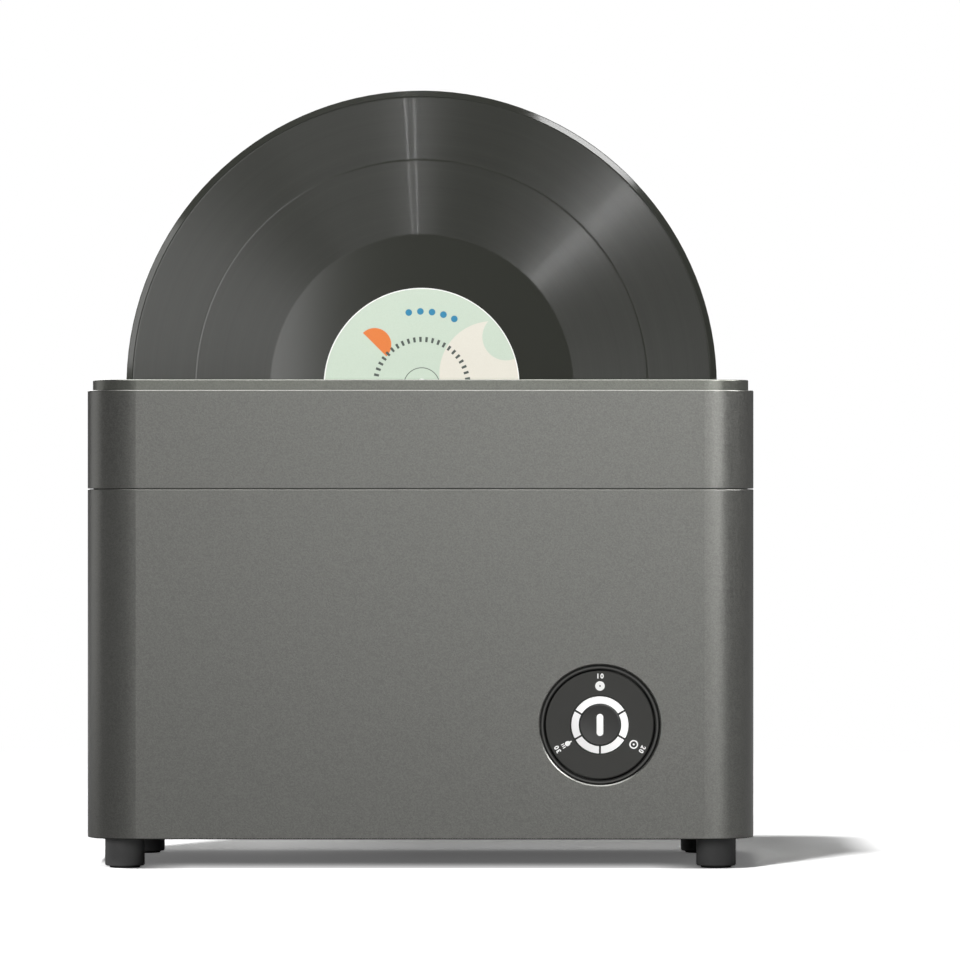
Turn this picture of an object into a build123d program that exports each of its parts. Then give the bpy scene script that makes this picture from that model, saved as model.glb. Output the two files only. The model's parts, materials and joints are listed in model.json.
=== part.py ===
from build123d import *
import os
from math import asin, cos, pi, radians, sin, sqrt, tan

# Ultrasonic record cleaning machine: an upright metal casing that holds a 12-inch record on edge in a
# narrow wash tub, turns it on grooved rollers, dries it with a blower and drains into a pull-out tank.
# Millimetres. +X is right, +Y is back, +Z is up. The origin is on the ground under the casing's centre.

# ---- driving dimensions ----

# Casing
casing_side_margin = 16.2
casing_depth = 160.0
casing_corner_radius = 25.5
casing_wall = 2.5
foot_height = 15.0
housing_height = 174.25
seam_gap = 0.3
shell_edge = 0.45
cover_height = 49.2
tray_rise = 5.25
edge_break = 0.6

# Record, a standard 12-inch disc
record_diameter = 301.6
record_rim_thickness = 2.2
record_groove_thickness = 1.6
record_label_diameter = 100.0
record_spindle_hole = 7.24
record_label_thickness = 0.15
record_bead_width = 3.3
record_bead_slope = 0.5
record_bevel_drop = 0.55
record_edge_round = 0.3
record_label_margin = 1.0
record_label_slope = 9.0
record_axis_drop = 2.0

# Clearances
fit_gap = 0.3
running_gap = 0.05
lid_gap = 0.2

# Base, deck and feet
base_thickness = 3.0
deck_thickness = 3.0
deck_drop = 7.25
column_radius = 4.5
column_side_inset = 37.0
column_inset = 9.0
column_web = 4.0
column_screw_length = 12.0
pilot_extra = 2.0
foot_radius = 9.95
front_foot_side_inset = 19.0
rear_foot_side_inset = 22.7
foot_inset = 19.5
pad_radius = 7.7
pad_height = 1.0
pad_sink = 1.2
pad_edge = 0.5
foot_hole_floor = 2.0
screw_end_gap = 0.5

# Screws
screw_radius = 1.5
screw_head_radius = 2.8
screw_head_height = 1.8
tub_screw_length = 6.0
tray_screw_length = 7.0
bracket_screw_length = 4.5

# Cover and slot tray
cover_tongue = 2.0
cover_shelf_height = 5.0
cover_shelf_rise = 1.0
cover_ledge_width = 3.5
cover_ledge_height = 2.5
tray_pad_radius = 8.0
tray_post_radius = 4.5
tray_screw_share = 0.4
tray_wall = 2.5
tray_rim_height = 6.0
tray_dish_drop = 3.0
tray_floor = 2.0
tray_seat_below_top = 14.5
tray_slope_margin = 1.5
throat_half_width = 9.0
throat_end_room = 4.2
throat_wall = 2.0
throat_corner_radius = 4.0
nozzle_width = 14.0
nozzle_height = 2.0
nozzle_pitch = 24.0
nozzle_rise = 14.0
nozzle_end_margin = 31.0
gasket_height = 2.4
gasket_width = 4.0

# Wash tub and rollers
tub_half_width = 12.0
tub_wall = 2.0
tub_floor_room = 7.2
tub_flange_thickness = 2.5
tub_flange_half_width = 24.0
tub_flange_margin = 1.0
tub_flange_corner = 8.0
tub_mouth_room = 2.2
tub_screw_x = 100.0
tub_screw_inset = 4.0
tub_deck_gap = 1.0
roller_angle = 55.0
roller_groove_radius = 10.0
roller_flange_radius = 12.0
roller_length = 16.0
roller_room = 2.0
shaft_radius = 3.0
axle_radius = 2.5
bush_radius = 5.0
shaft_boss_radius = 8.0
shaft_boss_length = 6.5
blind_boss_radius = 7.0
blind_boss_length = 4.5
blind_boss_floor = 2.0
seal_length = 3.0
roller_edge = 1.0
roller_groove_flare = 1.2

# Gears and drive motor
gear_module = 1.0
gear_teeth = 36
pinion_teeth = 12
gear_width = 6.0
gear_backlash = 0.25
gear_boss_gap = 1.5
gear_hole_radius = 2.8
gear_hole_circle = 10.5
shaft_end_reach = 1.0
motor_radius = 12.5
motor_end_gap = 0.5
motor_boss_radius = 4.0
motor_end_cap = 2.0
motor_boss_rise = 0.5
motor_can_edge = 1.5
motor_groove_depth = 0.6
motor_groove_width = 1.5
motor_groove_back = 14.0
motor_shaft_sink = 6.0
motor_shaft_radius = 1.5
bracket_thickness = 2.0
bracket_half_width = 20.0
bracket_gear_gap = 3.0
bracket_shelf = 24.0
bracket_edge = 3.0
bracket_corner = 4.0
bracket_screw_side = 12.0
bracket_screw_back = 18.0

# Ultrasonic transducers
transducer_x = 48.0
transducer_drop = 114.0
transducer_face_radius = 20.0
transducer_neck_radius = 12.5
transducer_head_length = 18.0
transducer_rim = 3.0
transducer_cone_margin = 5.0
transducer_step = 1.5
piezo_radius = 14.0
piezo_hole_radius = 5.0
piezo_thickness = 5.0
back_mass_length = 16.0
transducer_bolt_radius = 3.5
transducer_bolt_sink = 10.0
transducer_bolt_head_radius = 5.5
transducer_bolt_head = 5.0
bolt_socket_radius = 2.9
bolt_socket_depth = 3.0
back_mass_edge = 0.8

# Drain valve
drain_radius = 3.5
drain_boss_radius = 12.5
drain_boss_drop = 3.0
strainer_radius = 10.0
strainer_thickness = 1.5
strainer_sink = 1.0
strainer_hole_radius = 1.2
strainer_hole_circle = 6.0
strainer_holes = 6
valve_half_width = 11.0
valve_height = 18.0
valve_bore_radius = 5.0
valve_stroke = 9.0
spout_length = 3.5
spout_radius = 5.5
solenoid_length = 38.0
coil_radius = 8.5
armature_radius = 4.0
armature_length = 14.0
valve_rod_radius = 1.5
valve_front_wall = 4.0
valve_rear_wall = 3.5
valve_corner = 3.0
plunger_overlap = 2.0
plunger_end_gap = 0.5
solenoid_plate = 2.0
solenoid_plate_margin = 1.0
yoke_thickness = 1.5
armature_gap = 2.0
spring_wire_radius = 0.4
spring_radius = 2.6
spring_turns = 5
spring_front_gap = 0.4
spring_rear_gap = 0.2

# Water tank
tank_side_room = 8.0
tank_front = 22.0
spout_room = 1.7
tank_wall = 2.0
tank_corner_radius = 4.0
tank_edge_radius = 2.0
tank_lid_thickness = 2.5
lid_rim_thickness = 1.5
lid_rim_depth = 2.0
lid_rim_back_gap = 1.0
pour_hole_radius = 7.0
pour_hole_inset = 16.0
tank_inlet_radius = 9.0
tank_gap = 0.5
rail_height = 2.0
rail_width = 4.0
rail_inset = 10.0
rail_end_gap = 1.0
grip_width = 60.0
grip_height = 15.0
grip_depth = 12.0
grip_corner = 6.0
grip_drop = 14.85

# Drying air
blower_side_inset = 87.0
duct_drop = 11.0
blower_depth = 24.0
blower_wall = 1.5
impeller_radius = 26.5
impeller_hub_radius = 13.0
impeller_blades = 18
impeller_plate = 1.2
impeller_ring_width = 2.0
impeller_front_gap = 1.0
impeller_rear_gap = 1.5
impeller_hub_length = 12.0
impeller_tip_gap = 0.2
hub_motor_gap = 0.8
blade_reach = 6.8
blade_lean = 4.6
blade_bow = 1.6
blade_thickness = 1.2
volute_start_radius = 30.0
volute_end_radius = 42.0
volute_outlet_rise = 40.0
intake_radius = 20.0
blower_motor_radius = 11.0
blower_motor_length = 11.0
blower_shaft_radius = 1.0
blower_shaft_reach = 2.5
duct_wall = 1.5
filter_side = 62.0
filter_thickness = 7.0
filter_corner = 3.0
filter_frame_margin = 3.0
filter_frame_depth = 11.5
filter_frame_corner = 7.0
filter_cover_lap = 6.0
filter_cover_corner = 6.0
filter_cover_gap = 0.4
filter_slot_count = 9
filter_slot_width = 3.0
filter_slot_length = 52.0

# Control panel
panel_side_inset = 77.5
panel_rise = 57.0
panel_hole_radius = 30.0
bezel_inner_radius = 27.7
bezel_recess = 0.5
bezel_flange_radius = 34.0
bezel_depth = 12.0
bezel_edge = 0.65
bezel_barrel_step = 2.0
bezel_barrel_gap = 2.1
mode_disc_recess = 0.8
mode_disc_radius = 26.9
mode_disc_inner_radius = 14.6
mode_disc_thickness = 2.0
mode_disc_stem_radius = 19.3
mode_disc_travel = 0.6
mode_disc_edge = 0.5
mode_disc_skirt = 1.6
mode_disc_lip = 1.5
mode_disc_lip_height = 1.2
stem_radius = 1.5
stem_gap = 0.1
light_outer_radius = 14.2
light_inner_radius = 10.5
light_gap = 0.95
light_thickness = 1.0
light_carrier_head = 2.0
light_carrier_wall = 1.8
light_inner_gap = 0.1
button_radius = 10.2
button_travel = 1.2
button_rise = 0.1
button_edge = 0.5
button_top = 2.5
button_skirt = 1.5
button_length = 6.0
mark_width = 3.3
mark_height = 11.0
mark_depth = 1.0
switch_height = 2.8
switch_side = 6.0
switch_body_height = 2.0
switch_cap_radius = 1.6
shoulder = 5.1
lamp_socket_width = 18.0
lamp_socket_height = 7.0
lamp_socket_depth = 6.0
lamp_socket_rise = 10.0
panel_screw_radius = 1.0
panel_screw_inset = 3.5
panel_screw_head_radius = 1.8
panel_screw_head_height = 1.4
board_thickness = 1.6

# Main board and power inlet
main_board_width = 66.0
main_board_length = 100.0
main_board_side_inset = 46.0
standoff_height = 4.0
standoff_radius = 3.0
standoff_inset = 5.0
board_screw_radius = 1.2
board_screw_head_radius = 2.2
board_screw_head_height = 1.6
board_screw_sink = 3.5
socket_count = 4
socket_width = 6.0
socket_length = 10.0
socket_height = 7.0
socket_pitch = 16.0
socket_edge = 3.0
socket_back = 20.0
chip_side = 14.0
chip_left = 22.0
chip_back = 22.0
chip_height = 1.5
small_chip_length = 8.0
small_chip_width = 6.0
small_chip_left = 42.0
small_chip_back = 26.0
transformer_width = 30.0
transformer_depth = 26.0
transformer_height = 22.0
transformer_left = 19.0
transformer_front = 4.0
transformer_corner = 2.0
core_leg = 5.0
core_window = 4.0
core_yoke = 4.0
sink_width = 32.0
sink_left = 27.0
sink_depth = 20.0
sink_height = 24.0
sink_spine = 4.0
fin_count = 6
fin_thickness = 1.6
capacitor_count = 3
capacitor_radius = 5.0
capacitor_height = 18.0
capacitor_pitch = 14.0
capacitor_side = 13.0
capacitor_back = 10.0
capacitor_edge = 0.8
jack_side_inset = 55.0
jack_rise = 20.0
jack_radius = 5.5
jack_length = 16.0
jack_flange = 2.0
jack_flange_thickness = 3.0
jack_bore_depth = 9.5
jack_pin_sink = 0.8
jack_bore_radius = 2.75
jack_pin_radius = 1.0

# ---- heights and places worked out from them ----

casing_width = record_diameter + 2 * casing_side_margin
casing_half_width = casing_width / 2
housing_bottom = foot_height
housing_top = housing_bottom + housing_height
cover_bottom = housing_top + seam_gap
cover_top = cover_bottom + cover_height
tray_top = cover_top + tray_rise
base_top = housing_bottom + base_thickness
deck_top = housing_top - deck_drop
deck_bottom = deck_top - deck_thickness
front_face = -casing_depth / 2
rear_face = casing_depth / 2
front_inside = front_face + casing_wall
rear_inside = rear_face - casing_wall
column_x = casing_half_width - column_side_inset
pilot_depth = column_screw_length + pilot_extra
front_foot_x = casing_half_width - front_foot_side_inset
rear_foot_x = casing_half_width - rear_foot_side_inset
tray_seat = tray_top - tray_seat_below_top

record_radius = record_diameter / 2
record_axis_height = tray_top - record_axis_drop

roller_reach = record_radius + fit_gap + roller_groove_radius
roller_x = roller_reach * sin(radians(roller_angle))
roller_height = record_axis_height - roller_reach * cos(radians(roller_angle))
roller_pocket_radius = roller_flange_radius + roller_room

tub_radius = record_radius + tub_floor_room
tub_floor_height = record_axis_height - tub_radius
tub_outside = tub_half_width + tub_wall
tub_top = deck_top + tub_flange_thickness
tub_mouth_half_length = record_radius + tub_mouth_room
blind_boss_reach = tub_outside + blind_boss_length - blind_boss_floor
strainer_seat = tub_floor_height - tub_wall - strainer_sink
drain_boss_bottom = tub_floor_height - tub_wall - drain_boss_drop

throat_half_length = record_radius + throat_end_room
gasket_bottom = tub_top + lid_gap
throat_bottom = gasket_bottom + gasket_height
tub_flange_half_length = throat_half_length + gasket_width + tub_flange_margin

gear_front = tub_outside + shaft_boss_length + gear_boss_gap
gear_rear = gear_front + gear_width
gear_distance = gear_module * (gear_teeth + pinion_teeth) / 2 + 0.1
motor_height = roller_height - gear_distance
bracket_front = gear_rear + bracket_gear_gap
motor_front = bracket_front + bracket_thickness
motor_rear = rear_face - column_inset - column_radius - motor_end_gap

valve_top = drain_boss_bottom
valve_bottom = valve_top - valve_height
valve_height_centre = (valve_top + valve_bottom) / 2
valve_front = -(valve_bore_radius + valve_front_wall)
plunger_head = drain_radius + plunger_overlap
valve_rear = plunger_head + valve_stroke + valve_rear_wall

main_board_x = casing_half_width - main_board_side_inset
tank_half_width = main_board_x - main_board_width / 2 - tank_side_room
tank_bottom = base_top + rail_height + fit_gap
tank_lid_top = valve_bottom - spout_length - spout_room
tank_top = tank_lid_top - tank_lid_thickness
tank_height = tank_top - tank_bottom
grip_middle = tank_top - grip_drop

blower_rear = rear_face - filter_frame_depth - casing_wall
blower_front = blower_rear - blower_depth
blower_x = casing_half_width - blower_side_inset
outlet_top = deck_bottom - duct_drop
blower_height = outlet_top - volute_outlet_rise
filter_pocket_side = filter_side + 2 * tank_gap
filter_cover_side = filter_side + 2 * filter_cover_lap
filter_frame_side = filter_cover_side + 2 * filter_frame_margin

panel_x = casing_half_width - panel_side_inset
panel_height = housing_bottom + panel_rise
board_front = front_face + bezel_depth
board_rear = board_front + board_thickness
jack_x = casing_half_width - jack_side_inset
jack_height = base_top + jack_rise


# ---- helpers ----


def casing_outline(inset):
    """Plan of the casing with its wall line moved inwards."""
    return RectangleRounded(
        casing_width - 2 * inset, casing_depth - 2 * inset, casing_corner_radius - inset
    )


def upright(outline, bottom, top):
    """Solid of a plan outline between two heights."""
    return Pos(0, 0, bottom) * extrude(outline, top - bottom)


def across(outline, front, rear):
    """Solid of an outline drawn in X and Z, between two depths along Y."""
    return extrude(Plane.XZ.offset(-front) * outline, -(rear - front))


def post(x, y, radius, bottom, top):
    """Upright round bar."""
    return Pos(x, y, (bottom + top) / 2) * Cylinder(radius, top - bottom)


def rod(x, height, radius, front, rear):
    """Round bar along Y."""
    return Pos(x, (front + rear) / 2, height) * Rot(90, 0, 0) * Cylinder(radius, rear - front)


def tube(x, height, outer, inner, front, rear):
    """Round tube along Y."""
    return rod(x, height, outer, front, rear) - rod(x, height, inner, front, rear)


def block(left, right, front, rear, bottom, top):
    """Rectangular solid between limits."""
    centre = Pos((left + right) / 2, (front + rear) / 2, (bottom + top) / 2)
    return centre * Box(right - left, rear - front, top - bottom)


def group(solids):
    """Several separate solids in one node."""
    return Compound(children=[s for shape in solids for s in shape.solids()])


def screw_up(x, y, seat, length):
    """Pan-head screw that enters upwards from its seat."""
    head = post(x, y, screw_head_radius, seat - screw_head_height, seat)
    return head + post(x, y, screw_radius - running_gap, seat, seat + length)


def screw_down(x, y, seat, length):
    """Pan-head screw that enters downwards from its seat."""
    head = post(x, y, screw_head_radius, seat, seat + screw_head_height)
    return head + post(x, y, screw_radius - running_gap, seat - length, seat)


# ---- casing ----

column_places = [
    (sx * column_x, sy * (casing_depth / 2 - column_inset)) for sx in (-1, 1) for sy in (-1, 1)
]
foot_places = {
    "front_left": (-front_foot_x, front_face + foot_inset),
    "front_right": (front_foot_x, front_face + foot_inset),
    "rear_left": (-rear_foot_x, rear_face - foot_inset),
    "rear_right": (rear_foot_x, rear_face - foot_inset),
}


def tank_opening_outline(gap):
    """Rear opening that the tank and its lid pass through."""
    height = tank_height + tank_lid_thickness + 2 * gap
    middle = tank_bottom - gap + height / 2
    return Pos(0, middle) * RectangleRounded(2 * (tank_half_width + gap), height, tank_edge_radius + gap)


def filter_outline(side, radius):
    return Pos(-blower_x, blower_height) * RectangleRounded(side, side, radius)


def make_housing():
    """Lower shell: a rounded sleeve with screw columns, panel hole, tank opening and filter pocket."""
    sleeve = upright(casing_outline(0), housing_bottom, housing_top)
    rims = sleeve.edges().group_by(Axis.Z)
    sleeve = fillet(list(rims[0]) + list(rims[-1]), shell_edge)
    sleeve -= upright(casing_outline(casing_wall), housing_bottom, housing_top)
    for x, y in column_places:
        wall = rear_inside if y > 0 else front_inside
        sleeve += post(x, y, column_radius, base_top, deck_bottom)
        web_half = column_web / 2
        sleeve += block(x - web_half, x + web_half, min(y, wall), max(y, wall), base_top, deck_bottom)
        sleeve -= post(x, y, screw_radius, base_top, base_top + pilot_depth)
        sleeve -= post(x, y, screw_radius, deck_bottom - pilot_depth, deck_bottom)
    frame_front = rear_inside - filter_frame_depth
    sleeve += across(filter_outline(filter_frame_side, filter_frame_corner), frame_front, rear_inside)
    sleeve -= across(filter_outline(filter_pocket_side, filter_corner), frame_front, rear_face)
    hole_side = filter_cover_side + 2 * filter_cover_gap
    cover_hole = filter_outline(hole_side, filter_cover_corner + filter_cover_gap)
    sleeve -= across(cover_hole, rear_inside, rear_face)
    sleeve -= across(tank_opening_outline(tank_gap), rear_inside, rear_face)
    panel_hole = Pos(panel_x, panel_height) * Circle(panel_hole_radius)
    sleeve -= across(panel_hole, front_face, front_inside)
    sleeve -= rod(jack_x, jack_height, jack_radius + running_gap, rear_inside, rear_face)
    mouth = sleeve.edges().filter_by(GeomType.CIRCLE).filter_by_position(Axis.Y, front_face, front_face)
    return chamfer(mouth, edge_break)


def make_base_plate():
    """Bottom plate with foot and column screw holes, board standoffs and tank rails."""
    plate = upright(casing_outline(casing_wall + lid_gap), housing_bottom, base_top)
    for x, y in column_places:
        plate -= post(x, y, screw_radius, housing_bottom, base_top)
        plate -= post(x, y, screw_head_radius + lid_gap, housing_bottom, housing_bottom + screw_head_height)
    for x, y in foot_places.values():
        plate -= post(x, y, screw_radius, housing_bottom, base_top)
    for side in (-1, 1):
        rail_middle = side * (tank_half_width - rail_inset)
        left = rail_middle - rail_width / 2
        rail_rear = rear_inside - rail_end_gap
        plate += block(left, left + rail_width, -tank_front, rail_rear, base_top, base_top + rail_height)
    for x, y in board_standoffs:
        plate += post(x, y, standoff_radius, base_top, board_bottom)
        plate -= post(x, y, board_screw_radius, base_top, board_bottom)
    return plate


def make_foot(x, y):
    """Round foot with a recess for its pad and a blind screw hole."""
    foot = post(x, y, foot_radius, pad_height, housing_bottom)
    foot = chamfer(foot.edges().group_by(Axis.Z)[0], edge_break)
    foot -= post(x, y, pad_radius, pad_height, pad_height + pad_sink)
    return foot - post(x, y, screw_radius, pad_height + pad_sink + foot_hole_floor, housing_bottom)


def make_foot_pad(x, y):
    """Rubber pad in the foot's recess, with a rounded lower edge."""
    pad = post(x, y, pad_radius, 0.0, pad_height + pad_sink)
    return fillet(pad.edges().group_by(Axis.Z)[0], pad_edge)


def make_deck_plate():
    """Inner deck that carries the tub and closes the lower shell."""
    plate = upright(casing_outline(casing_wall + fit_gap), deck_bottom, deck_top)
    hole_half_length = tub_mouth_half_length + tub_wall + tub_deck_gap
    hole_half_width = tub_outside + tub_deck_gap
    tub_hole = RectangleRounded(2 * hole_half_length, 2 * hole_half_width, throat_corner_radius)
    plate -= upright(tub_hole, deck_bottom, deck_top)
    for x, y in column_places + tub_screw_places:
        plate -= post(x, y, screw_radius, deck_bottom, deck_top)
    for x, y in bracket_screw_places:
        plate -= post(x, y, screw_radius, deck_bottom, deck_top)
    return plate - upright(duct_outline(fit_gap), deck_bottom, deck_top)


def make_column_screws(seat, up):
    """Four screws into the housing's columns, from below or from above."""
    place = screw_up if up else screw_down
    return group([place(x, y, seat, column_screw_length) for x, y in column_places])


def make_foot_screws():
    """One screw down into each foot."""
    length = base_top - pad_height - pad_sink - foot_hole_floor - screw_end_gap
    return group([screw_down(x, y, base_top, length) for x, y in foot_places.values()])


# ---- cover ----


def make_top_cover():
    """Upper shell: a sleeve with an inner shelf for the tray and a tongue that drops into the housing."""
    cover = upright(casing_outline(0), cover_bottom, cover_top)
    rims = cover.edges().group_by(Axis.Z)
    cover = fillet(rims[0], shell_edge)
    cover = fillet(cover.edges().group_by(Axis.Z)[-1], edge_break)
    cover -= upright(casing_outline(casing_wall), cover_bottom, cover_top)
    tongue_outside = casing_wall + 2 * lid_gap
    tongue_inside = tongue_outside + cover_tongue
    shelf = casing_outline(casing_wall) - casing_outline(tongue_inside)
    shelf_bottom = cover_bottom + cover_shelf_rise
    cover += upright(shelf, shelf_bottom, shelf_bottom + cover_shelf_height)
    tongue = casing_outline(tongue_outside) - casing_outline(tongue_inside)
    cover += upright(tongue, deck_top + lid_gap, shelf_bottom)
    ledge = casing_outline(casing_wall) - casing_outline(casing_wall + cover_ledge_width)
    ledge_bottom = tray_seat - cover_ledge_height
    cover += upright(ledge, ledge_bottom, tray_seat)
    for x, y in tray_screw_places:
        pad = Pos(x, y) * Circle(tray_pad_radius) & casing_outline(casing_wall)
        cover += upright(pad, ledge_bottom, tray_seat)
        cover -= post(x, y, screw_radius, ledge_bottom, tray_seat)
    return cover


def throat_outline(grow):
    """Plan of the record slot."""
    return RectangleRounded(
        2 * (throat_half_length + grow), 2 * (throat_half_width + grow), throat_corner_radius + grow
    )


def make_slot_tray():
    """Dished tray with the raised rim, and the slot's throat with its air nozzles."""
    rim = casing_wall + lid_gap / 2
    dish_top = tray_top - tray_rim_height
    dish_bottom = dish_top - tray_dish_drop
    tray = upright(casing_outline(rim), tray_seat, tray_top)
    tray = fillet(tray.edges().group_by(Axis.Z)[-1], edge_break)
    inner = casing_outline(rim + tray_wall)
    slope = throat_outline(tray_slope_margin)
    tray -= upright(inner, dish_top, tray_top)
    tray -= loft([Pos(0, 0, dish_top) * inner, Pos(0, 0, dish_bottom) * slope])
    tray -= upright(inner, tray_seat, dish_bottom - tray_floor)
    tray += upright(throat_outline(throat_wall), throat_bottom, dish_bottom - tray_floor)
    hole_top = tray_seat - cover_ledge_height + tray_screw_length + screw_end_gap
    for x, y in tray_screw_places:
        tray += post(x, y, tray_post_radius, tray_seat, dish_bottom)
        tray -= post(x, y, screw_radius, tray_seat, hole_top)
    tray -= upright(throat_outline(0), throat_bottom, tray_top)
    nozzle_count = int(2 * (throat_half_length - nozzle_end_margin) / nozzle_pitch)
    nozzle_outline = RectangleRounded(nozzle_width, nozzle_height, nozzle_height * 0.45)
    for i in range(nozzle_count):
        x = (i - (nozzle_count - 1) / 2) * nozzle_pitch
        nozzle = Pos(x, cover_bottom + nozzle_rise) * nozzle_outline
        reach = throat_half_width + throat_wall
        tray -= across(nozzle, -reach, -throat_half_width)
        tray -= across(nozzle, throat_half_width, reach)
    return tray


def make_throat_gasket():
    """Soft ring under the throat that seals it to the tub's flange."""
    ring = throat_outline(gasket_width) - throat_outline(0)
    return upright(ring, gasket_bottom, throat_bottom)


def make_tray_screws():
    """Screws up through the cover's corner pads into the tray."""
    seat = tray_seat - cover_ledge_height
    return group([screw_up(x, y, seat, tray_screw_length) for x, y in tray_screw_places])


# ---- record ----


def make_record_disc():
    """Pressed disc: thick label area, thinner grooved area and a raised bead that bevels down to the rim."""
    thick = record_rim_thickness / 2
    thin = record_groove_thickness / 2
    label_edge = record_label_diameter / 2 + record_label_margin
    bead = record_radius - record_bead_width
    half = [
        (record_spindle_hole / 2, thick),
        (label_edge, thick),
        (label_edge + record_label_slope, thin),
        (bead, thin),
        (bead + record_bead_slope, thick),
        (record_radius - record_edge_round, thick - record_bevel_drop),
        (record_radius, thick - record_bevel_drop - record_edge_round / 2),
    ]
    outline = half + [(r, -y) for r, y in reversed(half)]
    profile = make_face(Polyline(*[(r, y, 0) for r, y in outline], close=True))
    return Pos(0, 0, record_axis_height) * revolve(profile, Axis.Y)


def make_record_label(side):
    """Paper label on one side of the record."""
    face = side * record_rim_thickness / 2
    outer = face + side * record_label_thickness
    front, rear = min(face, outer), max(face, outer)
    return tube(
        0, record_axis_height, record_label_diameter / 2, record_spindle_hole / 2, front, rear
    )


# ---- wash tub ----

tub_screw_places = [
    (sx * tub_screw_x, sy * (tub_flange_half_width - tub_screw_inset)) for sx in (-1, 1) for sy in (-1, 1)
]
bracket_screw_places = [
    (roller_x + side * bracket_screw_side, motor_front + bracket_screw_back) for side in (-1, 1)
]
corner_reach = (casing_corner_radius - casing_wall) * tray_screw_share
tray_screw_places = [
    (
        sx * (casing_width / 2 - casing_corner_radius + corner_reach),
        sy * (casing_depth / 2 - casing_corner_radius + corner_reach),
    )
    for sx in (-1, 1)
    for sy in (-1, 1)
]


def tub_outline():
    """Inside of the tub seen from the front: the record's curve with a pocket at each roller."""
    pocket_edge = roller_x + roller_pocket_radius
    curve = Pos(0, record_axis_height) * Circle(tub_radius)
    outline = curve & (Pos(0, tub_top - tub_radius) * Rectangle(2 * tub_radius, 2 * tub_radius))
    for side in (-1, 1):
        outline += Pos(side * roller_x, roller_height) * Circle(roller_pocket_radius)
    mouth_start = roller_height + roller_pocket_radius
    outline += make_face(
        Polyline(
            (-pocket_edge, roller_height, 0),
            (-pocket_edge, mouth_start, 0),
            (-tub_mouth_half_length, tub_top, 0),
            (tub_mouth_half_length, tub_top, 0),
            (pocket_edge, mouth_start, 0),
            (pocket_edge, roller_height, 0),
            close=True,
        )
    )
    return outline


def make_wash_tub():
    """Narrow trough with a flange, roller bosses and a drain boss."""
    inside = tub_outline()
    outside = offset(inside, tub_wall)
    tub = across(outside, -tub_outside, tub_outside)
    tub &= block(-casing_width, casing_width, -tub_outside, tub_outside, 0, tub_top)
    flange = RectangleRounded(2 * tub_flange_half_length, 2 * tub_flange_half_width, tub_flange_corner)
    tub += upright(flange, deck_top, tub_top)
    tub += post(0, 0, drain_boss_radius, drain_boss_bottom, tub_floor_height)
    tub += rod(roller_x, roller_height, shaft_boss_radius, tub_outside, tub_outside + shaft_boss_length)
    for x, front, rear in (
        (roller_x, -tub_outside - blind_boss_length, -tub_outside),
        (-roller_x, -tub_outside - blind_boss_length, -tub_outside),
        (-roller_x, tub_outside, tub_outside + blind_boss_length),
    ):
        tub += rod(x, roller_height, blind_boss_radius, front, rear)
    tub -= across(inside, -tub_half_width, tub_half_width)
    tub -= rod(roller_x, roller_height, bush_radius, tub_half_width, tub_outside + shaft_boss_length)
    tub -= rod(roller_x, roller_height, shaft_radius + running_gap, -blind_boss_reach, -tub_half_width)
    tub -= rod(-roller_x, roller_height, axle_radius, -blind_boss_reach, blind_boss_reach)
    tub -= post(0, 0, strainer_radius + fit_gap, strainer_seat, tub_floor_height + strainer_sink)
    tub -= post(0, 0, drain_radius, drain_boss_bottom, tub_floor_height)
    for x, y in tub_screw_places:
        tub -= post(x, y, screw_radius, deck_top, tub_top)
    return tub


def make_tub_strainer():
    """Perforated disc that lies in the drain's counterbore."""
    top = strainer_seat + strainer_thickness
    disc = post(0, 0, strainer_radius, strainer_seat, top)
    for i in range(strainer_holes):
        turn = 2 * pi * i / strainer_holes
        x, y = strainer_hole_circle * cos(turn), strainer_hole_circle * sin(turn)
        disc -= post(x, y, strainer_hole_radius, strainer_seat, top)
    return disc


def make_tub_screws():
    return group([screw_down(x, y, tub_top, tub_screw_length) for x, y in tub_screw_places])


def make_roller(bore):
    """Roller with a groove that holds the record's edge upright, about the origin along Y."""
    half = roller_length / 2
    root = record_rim_thickness / 2 + fit_gap
    mouth = root + (roller_flange_radius - roller_groove_radius) * roller_groove_flare
    outline = [
        (bore, -half),
        (roller_flange_radius - roller_edge, -half),
        (roller_flange_radius, -half + roller_edge),
        (roller_flange_radius, -mouth),
        (roller_groove_radius, -root),
        (roller_groove_radius, root),
        (roller_flange_radius, mouth),
        (roller_flange_radius, half - roller_edge),
        (roller_flange_radius - roller_edge, half),
        (bore, half),
    ]
    profile = make_face(Polyline(*[(r, y, 0) for r, y in outline], close=True))
    return revolve(profile, Axis.Y)


def make_drive_roller():
    return Pos(roller_x, 0, roller_height) * make_roller(shaft_radius)


def make_idler_roller():
    return Pos(-roller_x, 0, roller_height) * make_roller(axle_radius + running_gap)


def make_idler_axle():
    return rod(-roller_x, roller_height, axle_radius, -blind_boss_reach, blind_boss_reach)


def make_drive_shaft():
    front = fit_gap - blind_boss_reach
    return rod(roller_x, roller_height, shaft_radius, front, gear_rear + shaft_end_reach)


def make_shaft_seal():
    """Lip seal at the wet end of the shaft's boss."""
    return tube(
        roller_x, roller_height, bush_radius, shaft_radius + running_gap,
        tub_half_width, tub_half_width + seal_length,
    )


def make_shaft_bush():
    """Plain bearing at the dry end of the shaft's boss."""
    return tube(
        roller_x, roller_height, bush_radius, shaft_radius + running_gap,
        tub_half_width + seal_length, tub_outside + shaft_boss_length,
    )


# ---- gears and drive motor ----


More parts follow.
